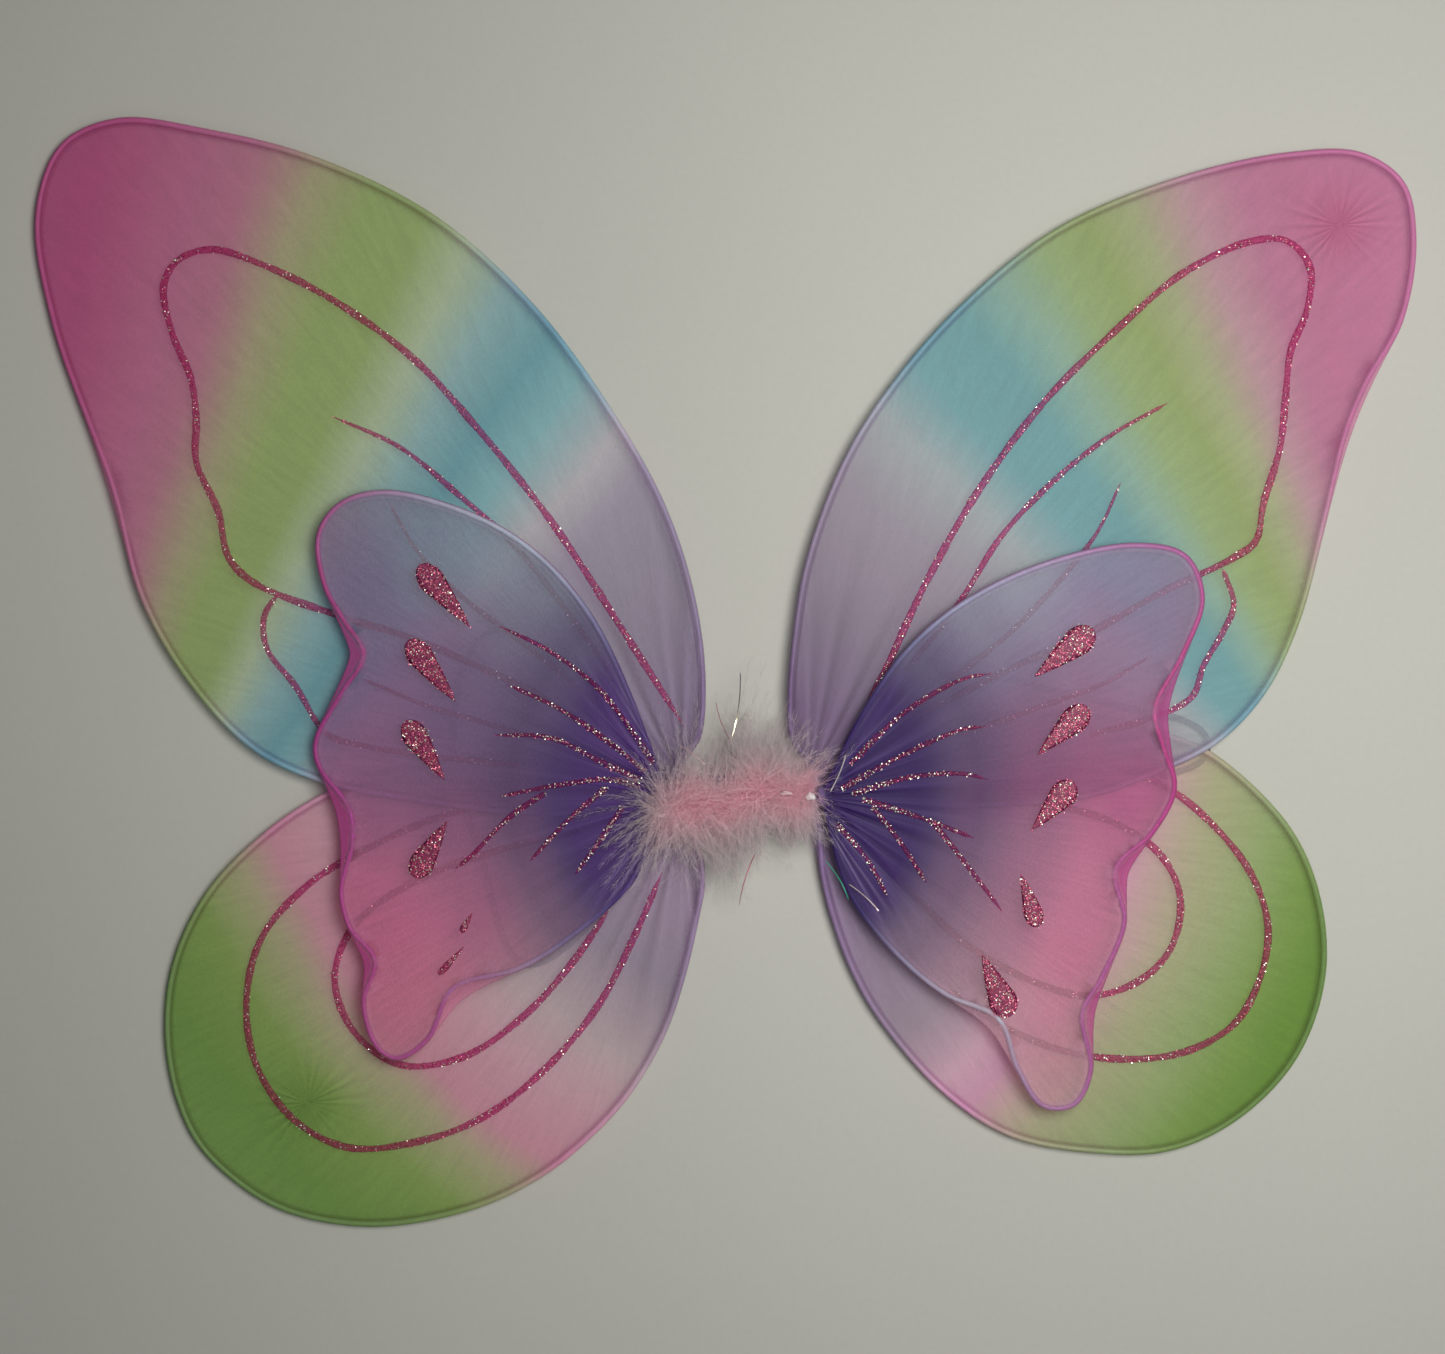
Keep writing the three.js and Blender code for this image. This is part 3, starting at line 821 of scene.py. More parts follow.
# ---------------------------------------------------------------- glitter
STROKES = {          # centre lines and width of the glitter drawn on each wing
    "left_upper": [
        (2.5, 1.0, [(-22, 25), (-45, 61), (-70, 99), (-97, 133), (-120, 158), (-147, 178), (-174, 192),
                    (-194, 198), (-206, 194), (-211, 185), (-208, 168), (-201, 151), (-199, 136),
                    (-199, 121), (-191, 103), (-187, 86), (-178, 77), (-147, 65), (-121, 57), (-95, 46),
                    (-78, 38), (-53, 22)]),
        (2.2, 0.9, [(-169, 73), (-174, 65), (-173, 53), (-163, 40), (-151, 22), (-138, 18), (-112, 14),
                    (-82, 11)]),
        (2.1, 0.5, [(-149, 137), (-125, 126), (-104, 109), (-84, 91), (-64, 66), (-44, 38)]),
        (2.0, 0.4, [(-129, 106), (-119, 89), (-105, 74), (-75, 51), (-53, 33)]),
        (2.0, 0.5, [(-138, 42), (-114, 32), (-100, 28), (-67, 18)])],
    "right_upper": [
        (2.5, 1.0, [(42, 29), (50, 44), (66, 78), (85, 111), (108, 142), (135, 169), (160, 190), (184, 201),
                    (197, 201), (205, 192), (204, 176), (198, 161), (196, 143), (194, 126), (188, 106),
                    (185, 92), (177, 86), (152, 74), (125, 59), (92, 44), (63, 29)]),
        (2.2, 0.9, [(173, 82), (177, 69), (173, 59), (166, 47), (162, 36), (150, 29), (125, 22)]),
        (2.1, 0.5, [(153, 142), (132, 130), (112, 114), (93, 94), (77, 69), (58, 45)]),
        (2.0, 0.4, [(136, 113), (128, 96), (115, 79), (96, 59), (75, 42), (56, 27)]),
        (2.0, 0.4, [(146, 50), (131, 41), (104, 31), (78, 22)])],
    "left_lower": [
        (2.5, 1.0, [(-30, -28), (-40, -51), (-53, -76), (-72, -99), (-95, -117), (-119, -126), (-145, -128),
                    (-165, -117), (-178, -97), (-181, -73), (-175, -51), (-159, -33), (-142, -22),
                    (-111, -8), (-78, 0)]),
        (2.5, 1.0, [(-49, -41), (-62, -60), (-80, -80), (-102, -95), (-125, -98), (-142, -86), (-149, -67),
                    (-143, -49), (-128, -36), (-105, -25), (-82, -18), (-60, -13)])],
    "right_lower": [
        (2.5, 1.0, [(67, 11), (89, 13), (109, 13), (130, 12), (154, 2), (170, -11), (184, -29), (190, -48),
                    (187, -67), (178, -83), (161, -93), (140, -96), (116, -93), (96, -85), (74, -71)]),
        (2.5, 1.0, [(89, -2), (113, -4), (136, -11), (151, -22), (158, -37), (155, -55), (144, -67),
                    (125, -73), (103, -67), (80, -54), (61, -36), (49, -24)])],
    "left_small": [
        (2.1, 0.6, [(-33, 12), (-41, 24), (-53, 39), (-70, 52), (-88, 61)]),
        (2.1, 0.6, [(-36, 9), (-47, 18), (-66, 31), (-85, 40)]),
        (2.1, 0.6, [(-38, 6), (-53, 13), (-70, 21), (-90, 22)]),
        (2.1, 0.6, [(-38, 4), (-49, 6), (-67, 4), (-88, 0)]),
        (2.1, 0.6, [(-72, 1), (-84, -7), (-99, -22), (-104, -26)]),
        (2.1, 0.6, [(-50, 3), (-64, -9), (-77, -23)]),
        (2.1, 0.6, [(-44, -4), (-53, -17), (-61, -28)])],
    "right_small": [
        (2.1, 0.6, [(38, 12), (57, 30), (78, 42), (88, 44)]),
        (2.1, 0.6, [(35, 3), (57, 15), (78, 24), (86, 25)]),
        (2.1, 0.6, [(39, 1), (60, 7), (79, 8), (87, 6)]),
        (2.1, 0.6, [(42, -1), (64, -8), (82, -15)]),
        (2.1, 0.6, [(68, -10), (79, -24), (92, -41)]),
        (2.1, 0.6, [(46, -4), (56, -17), (65, -31)]),
        (2.1, 0.6, [(33, -10), (44, -23), (51, -36)])],
}
DROPS = {            # round end, tip and greatest width of each teardrop
    "left_small": [((-117, 83), (-99, 61), 9.4), ((-121, 56), (-104, 34), 9.2), ((-122, 27), (-108, 6), 9.2),
                   ((-119, -29), (-107, -9), 9.0), ((-102, -49), (-98, -42), 2.6),
                   ((-110, -64), (-101, -54), 2.6)],
    "right_small": [((125, 60), (104, 43), 10.4), ((123, 32), (105, 15), 9.6), ((118, 5), (103, -12), 9.6),
                    ((105, -47), (99, -28), 7.0), ((95, -79), (85, -57), 10.4)],
}


ACROSS = np.array([-0.5, -0.32, 0.0, 0.32, 0.5, 0.25, -0.25])   # a bead of glue, as shares of its width
RISE = np.array([0.0, 0.16, 0.24, 0.16, 0.0, -0.02, -0.02])     # and its height at the same places
DROP_HEAD = 0.27              # share of a teardrop's length taken by its round end


def surface_z(name, level, side, points):
    """Height of a pouch's upper layer over any points."""
    layers = Layers(name, level, side, points)
    return layers.middle + layers.half


def stroke_shapes(name):
    """Each stroke's centre line, its width along it, and 1 for a teardrop or 0 for a line."""
    shapes = []
    for width, end_share, points in STROKES[name]:
        line = spline(points, 1.0)
        t = np.linspace(0, 1, len(line))
        if name.endswith("small"):
            taper = 1.0 - (1.0 - end_share) * t
            ends = np.minimum(1.0, (1 - t) * 14)
        else:
            taper = end_share + (1.0 - end_share) * np.minimum(1.0, t * 3)
            ends = np.minimum(1.0, t * 40)
        hand = 1 + 0.10 * np.sin(np.arange(len(line)) * 0.23 + len(line)) + rng.normal(0, 0.05, len(line))
        shapes.append((line, np.maximum(width * taper * ends * hand, 0.35), 0.0))
    for head, tip, width in DROPS.get(name, []):
        line = resample(np.array([head, tip], float), 0.5)
        s = np.linspace(0, 1, len(line))
        head_end = np.sqrt(1 - np.clip(1 - s / DROP_HEAD, 0, 1) ** 2)
        shape = head_end * np.clip((1 - s) / (1 - DROP_HEAD), 0, 1) ** 0.8
        shapes.append((line, np.maximum(width * shape, 0.3), 1.0))
    return shapes


def flake_material():
    """Cut foil in clear glue: the deep flakes let the wing's colour through; the bright ones are painted
    pale, as painted glints.
    """
    n = Nodes("glitter_flakes")
    tint = n.attribute("tint")
    colour = n.ramp(tint, colours([
        (0.0, 166, 36, 84), (0.35, 208, 60, 110), (0.62, 232, 104, 140), (0.74, 240, 156, 168),
        (0.80, 222, 222, 206), (0.88, 196, 222, 190), (0.94, 236, 236, 214), (1.0, 255, 252, 244)]))
    speck = n.noise(n.coords(), 6000.0, 1.0)
    foil = n.principled(colour, n.span(speck, 0.3, 0.7, 0.18, 0.34), n.bump(speck, 0.00005, 0.4),
                        Metallic=0.35, Specular_IOR_Level=0.7)
    return n.finish(n.film(n.span(tint, 0.3, 0.78, 0.16, 1.0), n.mix(0.4, CLEAR, colour), foil))


def line_glue_material(name, dark, light, most_cover):
    """The glue under the flakes: a thin rose film, thicker in the teardrops."""
    n = Nodes(name)
    bead = n.noise(n.coords(), 1400.0, 2.0)
    colour = n.ramp(bead, [(0.25, dark), (0.75, light)])
    glue = n.principled(colour, n.span(bead, 0.2, 0.8, 0.25, 0.5), n.bump(bead, 0.0003, 0.8),
                        Specular_IOR_Level=0.5)
    tint = n.ramp(bead, colours([(0.3, 248, 212, 238), (0.7, 254, 230, 248)]))
    least_cover = most_cover / 4
    cover = n.span(bead, 0.2, 0.8, least_cover, most_cover)
    cover = n.plus(cover, n.times(n.attribute("drop"), 0.4), clamp=True)
    return n.finish(n.film(cover, tint, glue))


FLAKES = flake_material()
LARGE_GLUE = line_glue_material("glitter_glue", srgb(178, 52, 100), srgb(224, 86, 134), 0.24)
SMALL_GLUE = line_glue_material("glitter_glue_small", srgb(124, 40, 84), srgb(176, 62, 112), 0.20)


def glue_bead(line, width, across, base):
    """A low bead of glue along a line: its points, their height over the nylon, and its faces."""
    rows, around = len(line), len(ACROSS)
    ring = line[:, None, :] + across[:, None, :] * (ACROSS[None, :, None] * width[:, None, None])
    rise = (np.minimum(width / 2.0, 1.0)[:, None] * RISE[None]).ravel()
    end = np.stack([np.zeros(around - 2, int), np.arange(2, around), np.arange(1, around - 1)], axis=1)
    tris = np.vstack([end, (rows - 1) * around + end[:, ::-1]])
    return ring.reshape(-1, 2), rise, base + ring_quads(rows, around, flip=True), base + tris


def scatter(line, width, across, along, drop, small):
    """Flakes strewn over a bead of glue: place, tint and height over the nylon."""
    area = length_of(line) * width.mean()
    density = 4.6 if drop else (3.2 if small else 2.8)
    count = int(area * density)
    at = rng.choice(len(line), count, p=width / width.sum())
    off = rng.uniform(-0.5, 0.5, count) + rng.normal(0, 0.05, count)
    aside = across[at] * (off * width[at])[:, None]
    place = line[at] + aside + along[at] * rng.uniform(-0.6, 0.6, count)[:, None]
    if small and not drop:
        # the short strokes get the most painted glints beside the centre
        share = np.clip((125 - np.hypot(place[:, 0], place[:, 1])) / 260, 0.05, 0.38)
    else:
        share = 0.11 if drop else 0.10
    # a share of the flakes gets a pale tint: painted glints
    is_glint = rng.random(count) < share
    bright = rng.uniform(0.77, 1.0, count)
    deep = rng.uniform(0.42, 0.7, count) if drop else rng.uniform(0.0, 0.62, count)
    dome = np.minimum(width[at] / 2.0, 1.0) * 0.24 * np.clip(1 - 4 * off ** 2, 0, 1)
    return place, np.where(is_glint, bright, deep), dome


def make_glitter(name, side, level, body):
    beads, flakes, drops = [], [], []
    base = 0
    small = level == "small"
    for line, width, drop in stroke_shapes(name):
        along = tangents(line)
        across = np.stack([-along[:, 1], along[:, 0]], axis=1)
        beads.append(glue_bead(line, width, across, base))
        drops.append(np.full(len(line) * len(ACROSS), drop))
        base += len(line) * len(ACROSS)
        flakes.append(scatter(line, width, across, along, drop, small))
    flat, rise, quads, tris = (np.concatenate(values) for values in zip(*beads))
    z = surface_z(name, level, side, flat) + rise + 0.03
    mesh_piece(f"{name}_glitter_lines", np.column_stack([flat, z]), [quads, tris], body,
               SMALL_GLUE if small else LARGE_GLUE, floats={"drop": np.concatenate(drops)})
    place, tint, dome = (np.concatenate(values) for values in zip(*flakes))
    count = len(place)
    height = surface_z(name, level, side, place) + dome + rng.uniform(0.05, 0.16, count)
    centre = np.column_stack([place, height])
    turn = rng.uniform(0, FULL_TURN, count)
    tilt = rng.normal(0, 0.24, (count, 2))
    half = (rng.uniform(0.12, 0.20, count) + 0.03 * (tint > 0.75))[:, None]
    a = np.column_stack([np.cos(turn), np.sin(turn), tilt[:, 0]]) * half
    b = np.column_stack([-np.sin(turn), np.cos(turn), tilt[:, 1]]) * half
    corners = np.stack([centre - a - b, centre + a - b * 0.9, centre + a * 1.05 + b, centre - a * 0.9 + b],
                       axis=1)
    mesh_piece(f"{name}_glitter_flakes", corners.reshape(-1, 3), [np.arange(count * 4).reshape(-1, 4)], body,
               FLAKES, smooth=False, floats={"tint": np.repeat(tint, 4)})


for side_name, side in SIDES:
    for level in ORDER:
        make_glitter(f"{side_name}_{level}", side, level, f"{side_name}_{level}_wing")


# ---------------------------------------------------------------- hub, bundles and bindings
def wound_material(name, low, high, gloss):
    n = Nodes(name)
    fibre = n.noise(n.scaled(n.coords(), (0.3, 1.0, 1.0)), 2200.0, 3.0)
    # turn brings a slow tone along each thread, and painted shade in the tucks of the wraps and on the bar
    # under the windings
    shade = n.plus(n.times(n.attribute("turn"), 0.6), n.times(fibre, 0.4))
    colour = n.ramp(shade, [(0.15, low), (0.8, high)])
    roughness = n.span(fibre, 0.2, 0.8, gloss - 0.08, gloss + 0.12)
    return n.finish(n.principled(colour, roughness, n.bump(fibre, 0.0002, 0.5), Sheen_Weight=0.4))


THREAD = wound_material("wound_thread", srgb(62, 38, 96), srgb(128, 96, 160), 0.45)
TAPE = wound_material("pink_ribbon", srgb(170, 108, 128), srgb(226, 168, 182), 0.38)


def wind(loop_at, turns, steps, radius, sides=6):
    """Thread wound round a loop; loop_at gives a point for the angle and the turn's share of the way."""
    u = np.linspace(0, 1, turns * steps)
    angle = FULL_TURN * turns * u
    line = loop_at(angle, u)
    line = line + rng.normal(0, radius * 0.07, line.shape)
    points, faces = tube(line, radius, sides)
    turn = 0.5 + 0.5 * np.sin(np.repeat(angle * 0.37, sides) + 1.7 * np.sin(np.repeat(angle * 0.05, sides)))
    return points, faces, np.concatenate([turn, [0.4, 0.4]])


def rounded(angle, half_a, half_b, power):
    """A rounded rectangle's points for an angle."""
    c, s = np.cos(angle), np.sin(angle)
    return half_a * np.sign(c) * np.abs(c) ** power, half_b * np.sign(s) * np.abs(s) ** power


def wrapped_body(x0, x1, half_y, z0, z1, ribbon, ridge, around):
    """A bundle wrapped in ribbon: overlapping turns along x, with creased, gathered ends."""
    steps = max(int(abs(x1 - x0) / 0.16), 8)
    x = np.linspace(x0, x1, steps)
    a = angles(around)
    yy, zz = rounded(a, 1.0, 1.0, 0.5)
    mid, half_z = 0.5 * (z0 + z1), 0.5 * (z1 - z0)
    share = np.linspace(0, 1, steps)
    lap = ((x[:, None] - x0) / ribbon + a[None] / FULL_TURN * np.sign(x1 - x0)) % 1.0
    inset = ridge * lap + 0.12 * np.sin(a * 5 + 1.0)[None] * 0.5 + 0.05 * np.sin(a * 17)[None]
    ends = np.minimum(1.0, np.sqrt(np.clip(np.minimum(share, 1 - share) * 9, 0, 1)) + 0.12)
    waist = 0.86 + 0.14 * ends
    py = (half_y - inset) * yy[None] * waist[:, None]
    pz = mid + (half_z - inset) * zz[None] * waist[:, None]
    rings = np.stack([np.broadcast_to(x[:, None], py.shape), py, pz], axis=2)
    quads = ring_quads(steps, around)
    if x1 < x0:
        quads = quads[:, ::-1]
    # painted shade: each turn is darker towards the edge of the next turn that laps over it
    turn = (0.25 + 0.75 * (1 - lap)).ravel()
    blocks, strips, caps = [rings.reshape(-1, 3)], [quads], []
    crease = 0.62 + 0.07 * np.sin(a * 9)
    j = np.arange(around)
    k = (j + 1) % around
    for end, first in ((0, True), (steps - 1, False)):
        inward = 1 if (x1 > x0) == first else -1
        inner = rings[end].copy()
        inner[:, 1] *= crease
        inner[:, 2] = mid + (inner[:, 2] - mid) * crease
        inner[:, 0] += (0.18 + 0.12 * np.sin(a * 13)) * inward
        base = sum(len(block) for block in blocks)
        blocks.append(np.vstack([inner, [rings[end][0, 0] + 0.4 * inward, 0.0, mid]]))
        outer = end * around
        strip = np.stack([outer + k, outer + j, base + j, base + k], axis=1)
        cap = np.stack([base + k, base + j, np.full(around, base + around)], axis=1)
        if inward < 0:
            strip, cap = strip[:, ::-1], cap[:, ::-1]
        strips.append(strip)
        caps.append(cap)
    points = np.vstack(blocks)
    # the creased, gathered ends are painted darker: painted shade in the folds
    turn = np.concatenate([turn, np.full(len(points) - len(turn), 0.35)])
    return points, [np.vstack(strips), np.vstack(caps)], turn


def wound_piece(name, body, material, parts, replaced):
    """Windings and wrapped bodies, each (points, [quads, triangles], turn), as one piece."""
    starts = np.cumsum([0] + [len(points) for points, _, _ in parts])
    quads = np.vstack([faces[0] + start for (_, faces, _), start in zip(parts, starts)])
    tris = np.vstack([faces[1] + start for (_, faces, _), start in zip(parts, starts)])
    points = np.vstack([points for points, _, _ in parts])
    turn = np.concatenate([turn for _, _, turn in parts])
    piece = mesh_piece(name, points, [quads, tris], body, material, floats={"turn": turn})
    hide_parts(replaced)


def stadium(angle, half, radius, z):
    """A point on a rounded bar's outline in x and z: bottom, right end, top, left end."""
    arc = math.pi * radius
    s = (angle / FULL_TURN) % 1.0 * (4 * half + 2 * arc)
    x, dz = np.empty_like(s), np.empty_like(s)
    a = s < 2 * half
    x[a], dz[a] = -half + s[a], -radius
    b = (~a) & (s < 2 * half + arc)
    t = (s[b] - 2 * half) / radius - math.pi / 2
    x[b], dz[b] = half + radius * np.cos(t), radius * np.sin(t)
    c = (~a) & (~b) & (s < 4 * half + arc)
    x[c], dz[c] = half - (s[c] - 2 * half - arc), radius
    d = (~a) & (~b) & (~c)
    t = (s[d] - 4 * half - arc) / radius + math.pi / 2
    x[d], dz[d] = -half + radius * np.cos(t), radius * np.sin(t)
    return x, z + dz


CORE_Z, CORE_R, CORE_HALF_Y, CORE_END_X = 6.2, 5.4, 7.5, 8.0


def core_body():
    """The stems of all six wings, lashed side by side, as one lumpy bar under the thread."""
    rows, around = 24, 48
    a = angles(around)
    x, z = stadium(a, CORE_END_X, CORE_R - 0.9, CORE_Z)
    rings = []
    for y in np.linspace(-CORE_HALF_Y + 0.5, CORE_HALF_Y - 0.5, rows):
        bulge = 1 + 0.02 * np.sin(a * 7 + y)
        rings.append(np.column_stack([x * bulge, np.full(around, y), CORE_Z + (z - CORE_Z) * bulge]))
    middles = [[0, -CORE_HALF_Y + 0.3, CORE_Z], [0, CORE_HALF_Y - 0.3, CORE_Z]]
    points = np.vstack(rings + [middles])
    faces = [ring_quads(rows, around, flip=True), end_tris(rows, around, flip=True)]
    # the bar is painted dark: painted shade in the gaps under the windings
    return points, faces, np.full(len(points), 0.2)


def core_winding(radius, turns, phase):
    def loop_at(angle, u):
        x, z = stadium(angle + phase, CORE_END_X, radius, CORE_Z)
        return np.column_stack([x, (u - 0.5) * 2 * (CORE_HALF_Y - 0.4), z])
    return wind(loop_at, turns, 64, 0.36)


def arm_loop_tie(side):
    """Thread round both ends of an arm loop, over the flattened ends themselves."""
    def loop_at(angle, u):
        y, z = rounded(angle, 4.2, 1.0, 0.5)
        return np.column_stack([side * (13.75 + 2.85 * u), y, 1.32 + z])
    return [wind(loop_at, 5, 44, 0.3), wrapped_body(side * 13.5, side * 16.9, 4.0, 0.25, 2.4, 1.7, 0.1, 48)]


def binding_layer(level, side, turns, grow, inset):
    """One layer of the thread that holds both legs of a wing's wire together."""
    leg_y = LEVELS[level][3]
    x0 = 26.0 if level == "small" else 21.3
    middle = plane_z(level, side, side * (x0 + 1.5), leg_y)

    def loop_at(angle, u):
        y, z = rounded(angle, 2.55 + grow, 1.45 + grow, 0.6)
        return np.column_stack([side * (x0 + inset + (3.0 - 2 * inset) * u), leg_y + y, middle + z])
    return wind(loop_at, turns, 40, 0.24)


core = [core_body(), core_winding(CORE_R - 0.36, 23, 0.0), core_winding(CORE_R - 0.72, 20, 0.4)]
wound_piece("hub_thread_winding", "hub", THREAD, core, "hub_core")
hub_wrap = wrapped_body(-6.0, 6.0, 8.4, 0.0, 12.4, 4.2, 0.3, 96)
wound_piece("hub_ribbon_wrap", "hub", TAPE, [hub_wrap], "hub_tape")
for side_name, side in SIDES:
    root_wrap = wrapped_body(side * 14.5, side * 19.9, 7.4, 3.1, 12.9, 2.4, 0.24, 84)
    wound_piece(f"{side_name}_root_wrap", f"{side_name}_lower_wing", TAPE, [root_wrap],
                f"{side_name}_root_bundle")
    wound_piece(f"{side_name}_elastic_tie_thread", "hub", THREAD, arm_loop_tie(side),
                f"{side_name}_arm_loop_tie")
    for level in ORDER:
        name = f"{side_name}_{level}"
        layers = [binding_layer(level, side, 8, 0.0, 0.3), binding_layer(level, side, 5, 0.42, 0.65)]
        wound_piece(f"{name}_binding_thread", f"{name}_wing", THREAD, layers, f"{name}_root_binding")


# ---------------------------------------------------------------- marabou
STRING_Z = 15.4               # the string that holds the down
CLOTH_TOP = 13.6              # just over the small wings' upper layer
SOFT_TOP = 20.0               # above this the down is pressed lower, as a feather under its own weight


def marabou_material():
    n = Nodes("marabou_down")
    shade = wandering(n, n.attribute("along"), n.attribute("tone"), 0.5)
    core = n.ramp(shade, colours([(0.05, 255, 210, 224), (0.28, 254, 222, 231), (0.6, 240, 224, 228),
                                  (1.0, 222, 212, 216)]))
    fine = n.noise(n.coords(), 900.0, 2.0)
    colour = n.mix(n.span(fine, 0.3, 0.7, 0.0, 0.25), core, srgb(255, 240, 240))
    down = n.principled(colour, 0.75, None, Sheen_Weight=0.5, Specular_IOR_Level=0.25)
    glow = n.add("BsdfTranslucent")
    n.put(glow.inputs["Color"], colour)
    return n.finish(n.layered(0.45, down, glow.outputs[0]))


def barbs(base, direction, length, width, curl, droop, floor_z, segments=6):
    """Thin curved barbs as flat strips. Every input has one row for each barb."""
    n = len(base)
    s = np.linspace(0, 1, segments + 1)
    line = (base[:, None] + direction[:, None] * (length[:, None] * s[None])[..., None]
            + curl[:, None] * (length[:, None] * s[None] ** 2)[..., None])
    line[..., 2] -= (droop[:, None] * s[None] ** 2) * length[:, None]
    line[..., 2] = np.maximum(line[..., 2], floor_z[:, None] + 0.25 * np.sin(9 * s)[None] ** 2)
    t = unit(np.gradient(line, axis=1))
    spin = rng.uniform(0, FULL_TURN, n)
    ref = np.column_stack([np.cos(spin), np.sin(spin), rng.uniform(-0.6, 0.6, n)])
    across = unit(np.cross(t, ref[:, None])) * (width[:, None] * (1 - 0.7 * s[None]))[..., None] / 2
    points = np.stack([line - across, line + across], axis=2)
    index = np.arange(n)[:, None] * (segments + 1) * 2 + np.arange(segments)[None] * 2
    quads = np.stack([index, index + 1, index + 3, index + 2], axis=2).reshape(-1, 4)
    return points.reshape(-1, 3), quads, line, t


def barbules(line, t, per_barb, reach, width):
    """The fine hairs that stand off each barb, five points to a hair."""
    n, m, _ = line.shape
    span = np.linalg.norm(line[:, -1] - line[:, 0], axis=1) ** 1.4
    pick = rng.choice(n, n * per_barb, p=span / span.sum())
    u = rng.uniform(0.08, 1.0, len(pick)) ** 0.75 * (m - 1)
    i = np.minimum(u.astype(int), m - 2)
    f = (u - i)[:, None]
    base = line[pick, i] * (1 - f) + line[pick, i + 1] * f
    axis = t[pick, i]
    out = rng.normal(0, 1, base.shape)
    out = unit(out - (out * axis).sum(1, keepdims=True) * axis)
    length = (reach * rng.uniform(0.5, 1.2, len(pick)) * (0.55 + 0.6 * np.minimum(u / (m - 1), 0.8)))[:, None]
    across = np.cross(axis, out) * width / 2
    middle = base + (out * 0.75 + axis * 0.65) * length * 0.55
    tip = base + (out * 0.55 + axis * 0.95) * length
    low, high = middle - across * 0.8, middle + across * 0.8
    points = np.stack([base - across, base + across, high, low, tip], axis=1)
    first = np.arange(len(pick))[:, None] * 5
    return points.reshape(-1, 3), first + np.array([[0, 1, 2, 3]]), first + np.array([[3, 2, 4]])


def cloth_top(x):
    """Height that the down rests on: the small wings outside the roots, the table between them."""
    away = np.abs(x)
    return np.where(away > 24.0, CLOTH_TOP, np.where(away > 13.0, CLOTH_TOP - (24.0 - away) * 0.05, 0.5))


def string_y(x):
    """The marabou string's wandering line over the hub."""
    return 0.15 * x - 0.5 + 1.3 * np.sin(0.23 * x + 0.6)


def make_marabou(name, body, replaced, material, ends_x, clumps, pull, longest):
    """Down standing out of one length of the marabou string: clumps of barbs, each leaning its own way."""
    low_x, high_x = ends_x
    middle, half = (low_x + high_x) / 2, (high_x - low_x) / 2
    size = rng.integers(8, 22, clumps)
    owner = np.repeat(np.arange(clumps), size)
    count = len(owner)
    clump_x = rng.uniform(low_x, high_x, clumps)
    around = rng.uniform(0, FULL_TURN, clumps)
    # a fifth of the clumps are short and stand up, a fifth are of middling length, and the rest are long
    kind = rng.random(clumps)
    lift = np.where(kind < 0.2, rng.uniform(0.0, 1.0, clumps), rng.uniform(-0.25, 0.35, clumps))
    up = np.sin(around)
    clump_way = np.column_stack([0.7 * np.cos(around) + (clump_x - middle) / half * 0.3 + pull[0],
                                 np.sign(up) * np.abs(up) ** 0.6 + pull[1], lift])
    clump_way /= np.linalg.norm(clump_way, axis=1, keepdims=True)
    short, medium = rng.uniform(3, 6, clumps), rng.uniform(7, 13, clumps)
    long = rng.uniform(13, longest, clumps)
    clump_length = np.where(kind < 0.2, short, np.where(kind < 0.4, medium, long))
    bend = np.column_stack([rng.normal(0, spread, clumps) for spread in (0.35, 0.35, 0.08)])
    x = np.clip(clump_x[owner] + rng.normal(0, 1.3, count), low_x - 1.0, high_x + 1.0)
    y = string_y(x) + rng.normal(0, 0.9, count)
    base = np.column_stack([x, y, STRING_Z + rng.normal(0, 0.9, count)])
    direction = clump_way[owner] + rng.normal(0, 0.3, (count, 3)) * np.array([1, 1, 0.5])
    direction /= np.linalg.norm(direction, axis=1, keepdims=True)
    length = clump_length[owner] * rng.uniform(0.55, 1.1, count)
    curl = bend[owner] + rng.normal(0, 0.15, (count, 3)) * np.array([1, 1, 0.4])
    droop = rng.uniform(0.0, 0.45, count)
    tips = base + (direction + curl) * length[:, None]
    rest = np.where(length < 12, 12.8, cloth_top(tips[:, 0])) + rng.uniform(0, 1.6, count)
    points, quads, line, t = barbs(base, direction, length, rng.uniform(0.14, 0.26, count), curl, droop, rest)
    hair, hair_quads, hair_tris = barbules(line, t, 24, 3.3, 0.085)
    tone = np.repeat(rng.random(count) * 0.4 + 0.6 * rng.random(clumps)[owner], line.shape[1] * 2)
    hair_tone = rng.random(len(hair) // 5).repeat(5)
    shift = len(points)
    points = np.vstack([points, hair])
    points[:, 2] = np.maximum(points[:, 2], 0.3)
    high = np.maximum(points[:, 2] - SOFT_TOP, 0.0)
    points[:, 2] += 8.0 * np.tanh(high / 9.0) - high
    away = np.maximum(np.abs(points[:, 1] - string_y(points[:, 0])), (-points[:, 0] - 19.0) * 0.8)
    faces = [np.vstack([quads, hair_quads + shift]), hair_tris + shift]
    values = {"along": np.clip(away / 20.0, 0, 1), "tone": np.concatenate([tone, hair_tone])}
    piece = mesh_piece(name, points, faces, body, material, floats=values)
    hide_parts(replaced)


down = marabou_material()
make_marabou("marabou_centre_down", "hub", "marabou_centre", down, (-14.0, 12.0), 86, (0.0, -0.06), 28.0)
make_marabou("left_marabou_down", "left_small_wing", "left_marabou", down, (-31.0, -14.5), 58,
             (-0.1, -0.1), 26.0)
make_marabou("right_marabou_down", "right_small_wing", "right_marabou", down, (12.5, 23.5), 50,
             (-0.25, 0.1), 16.0)


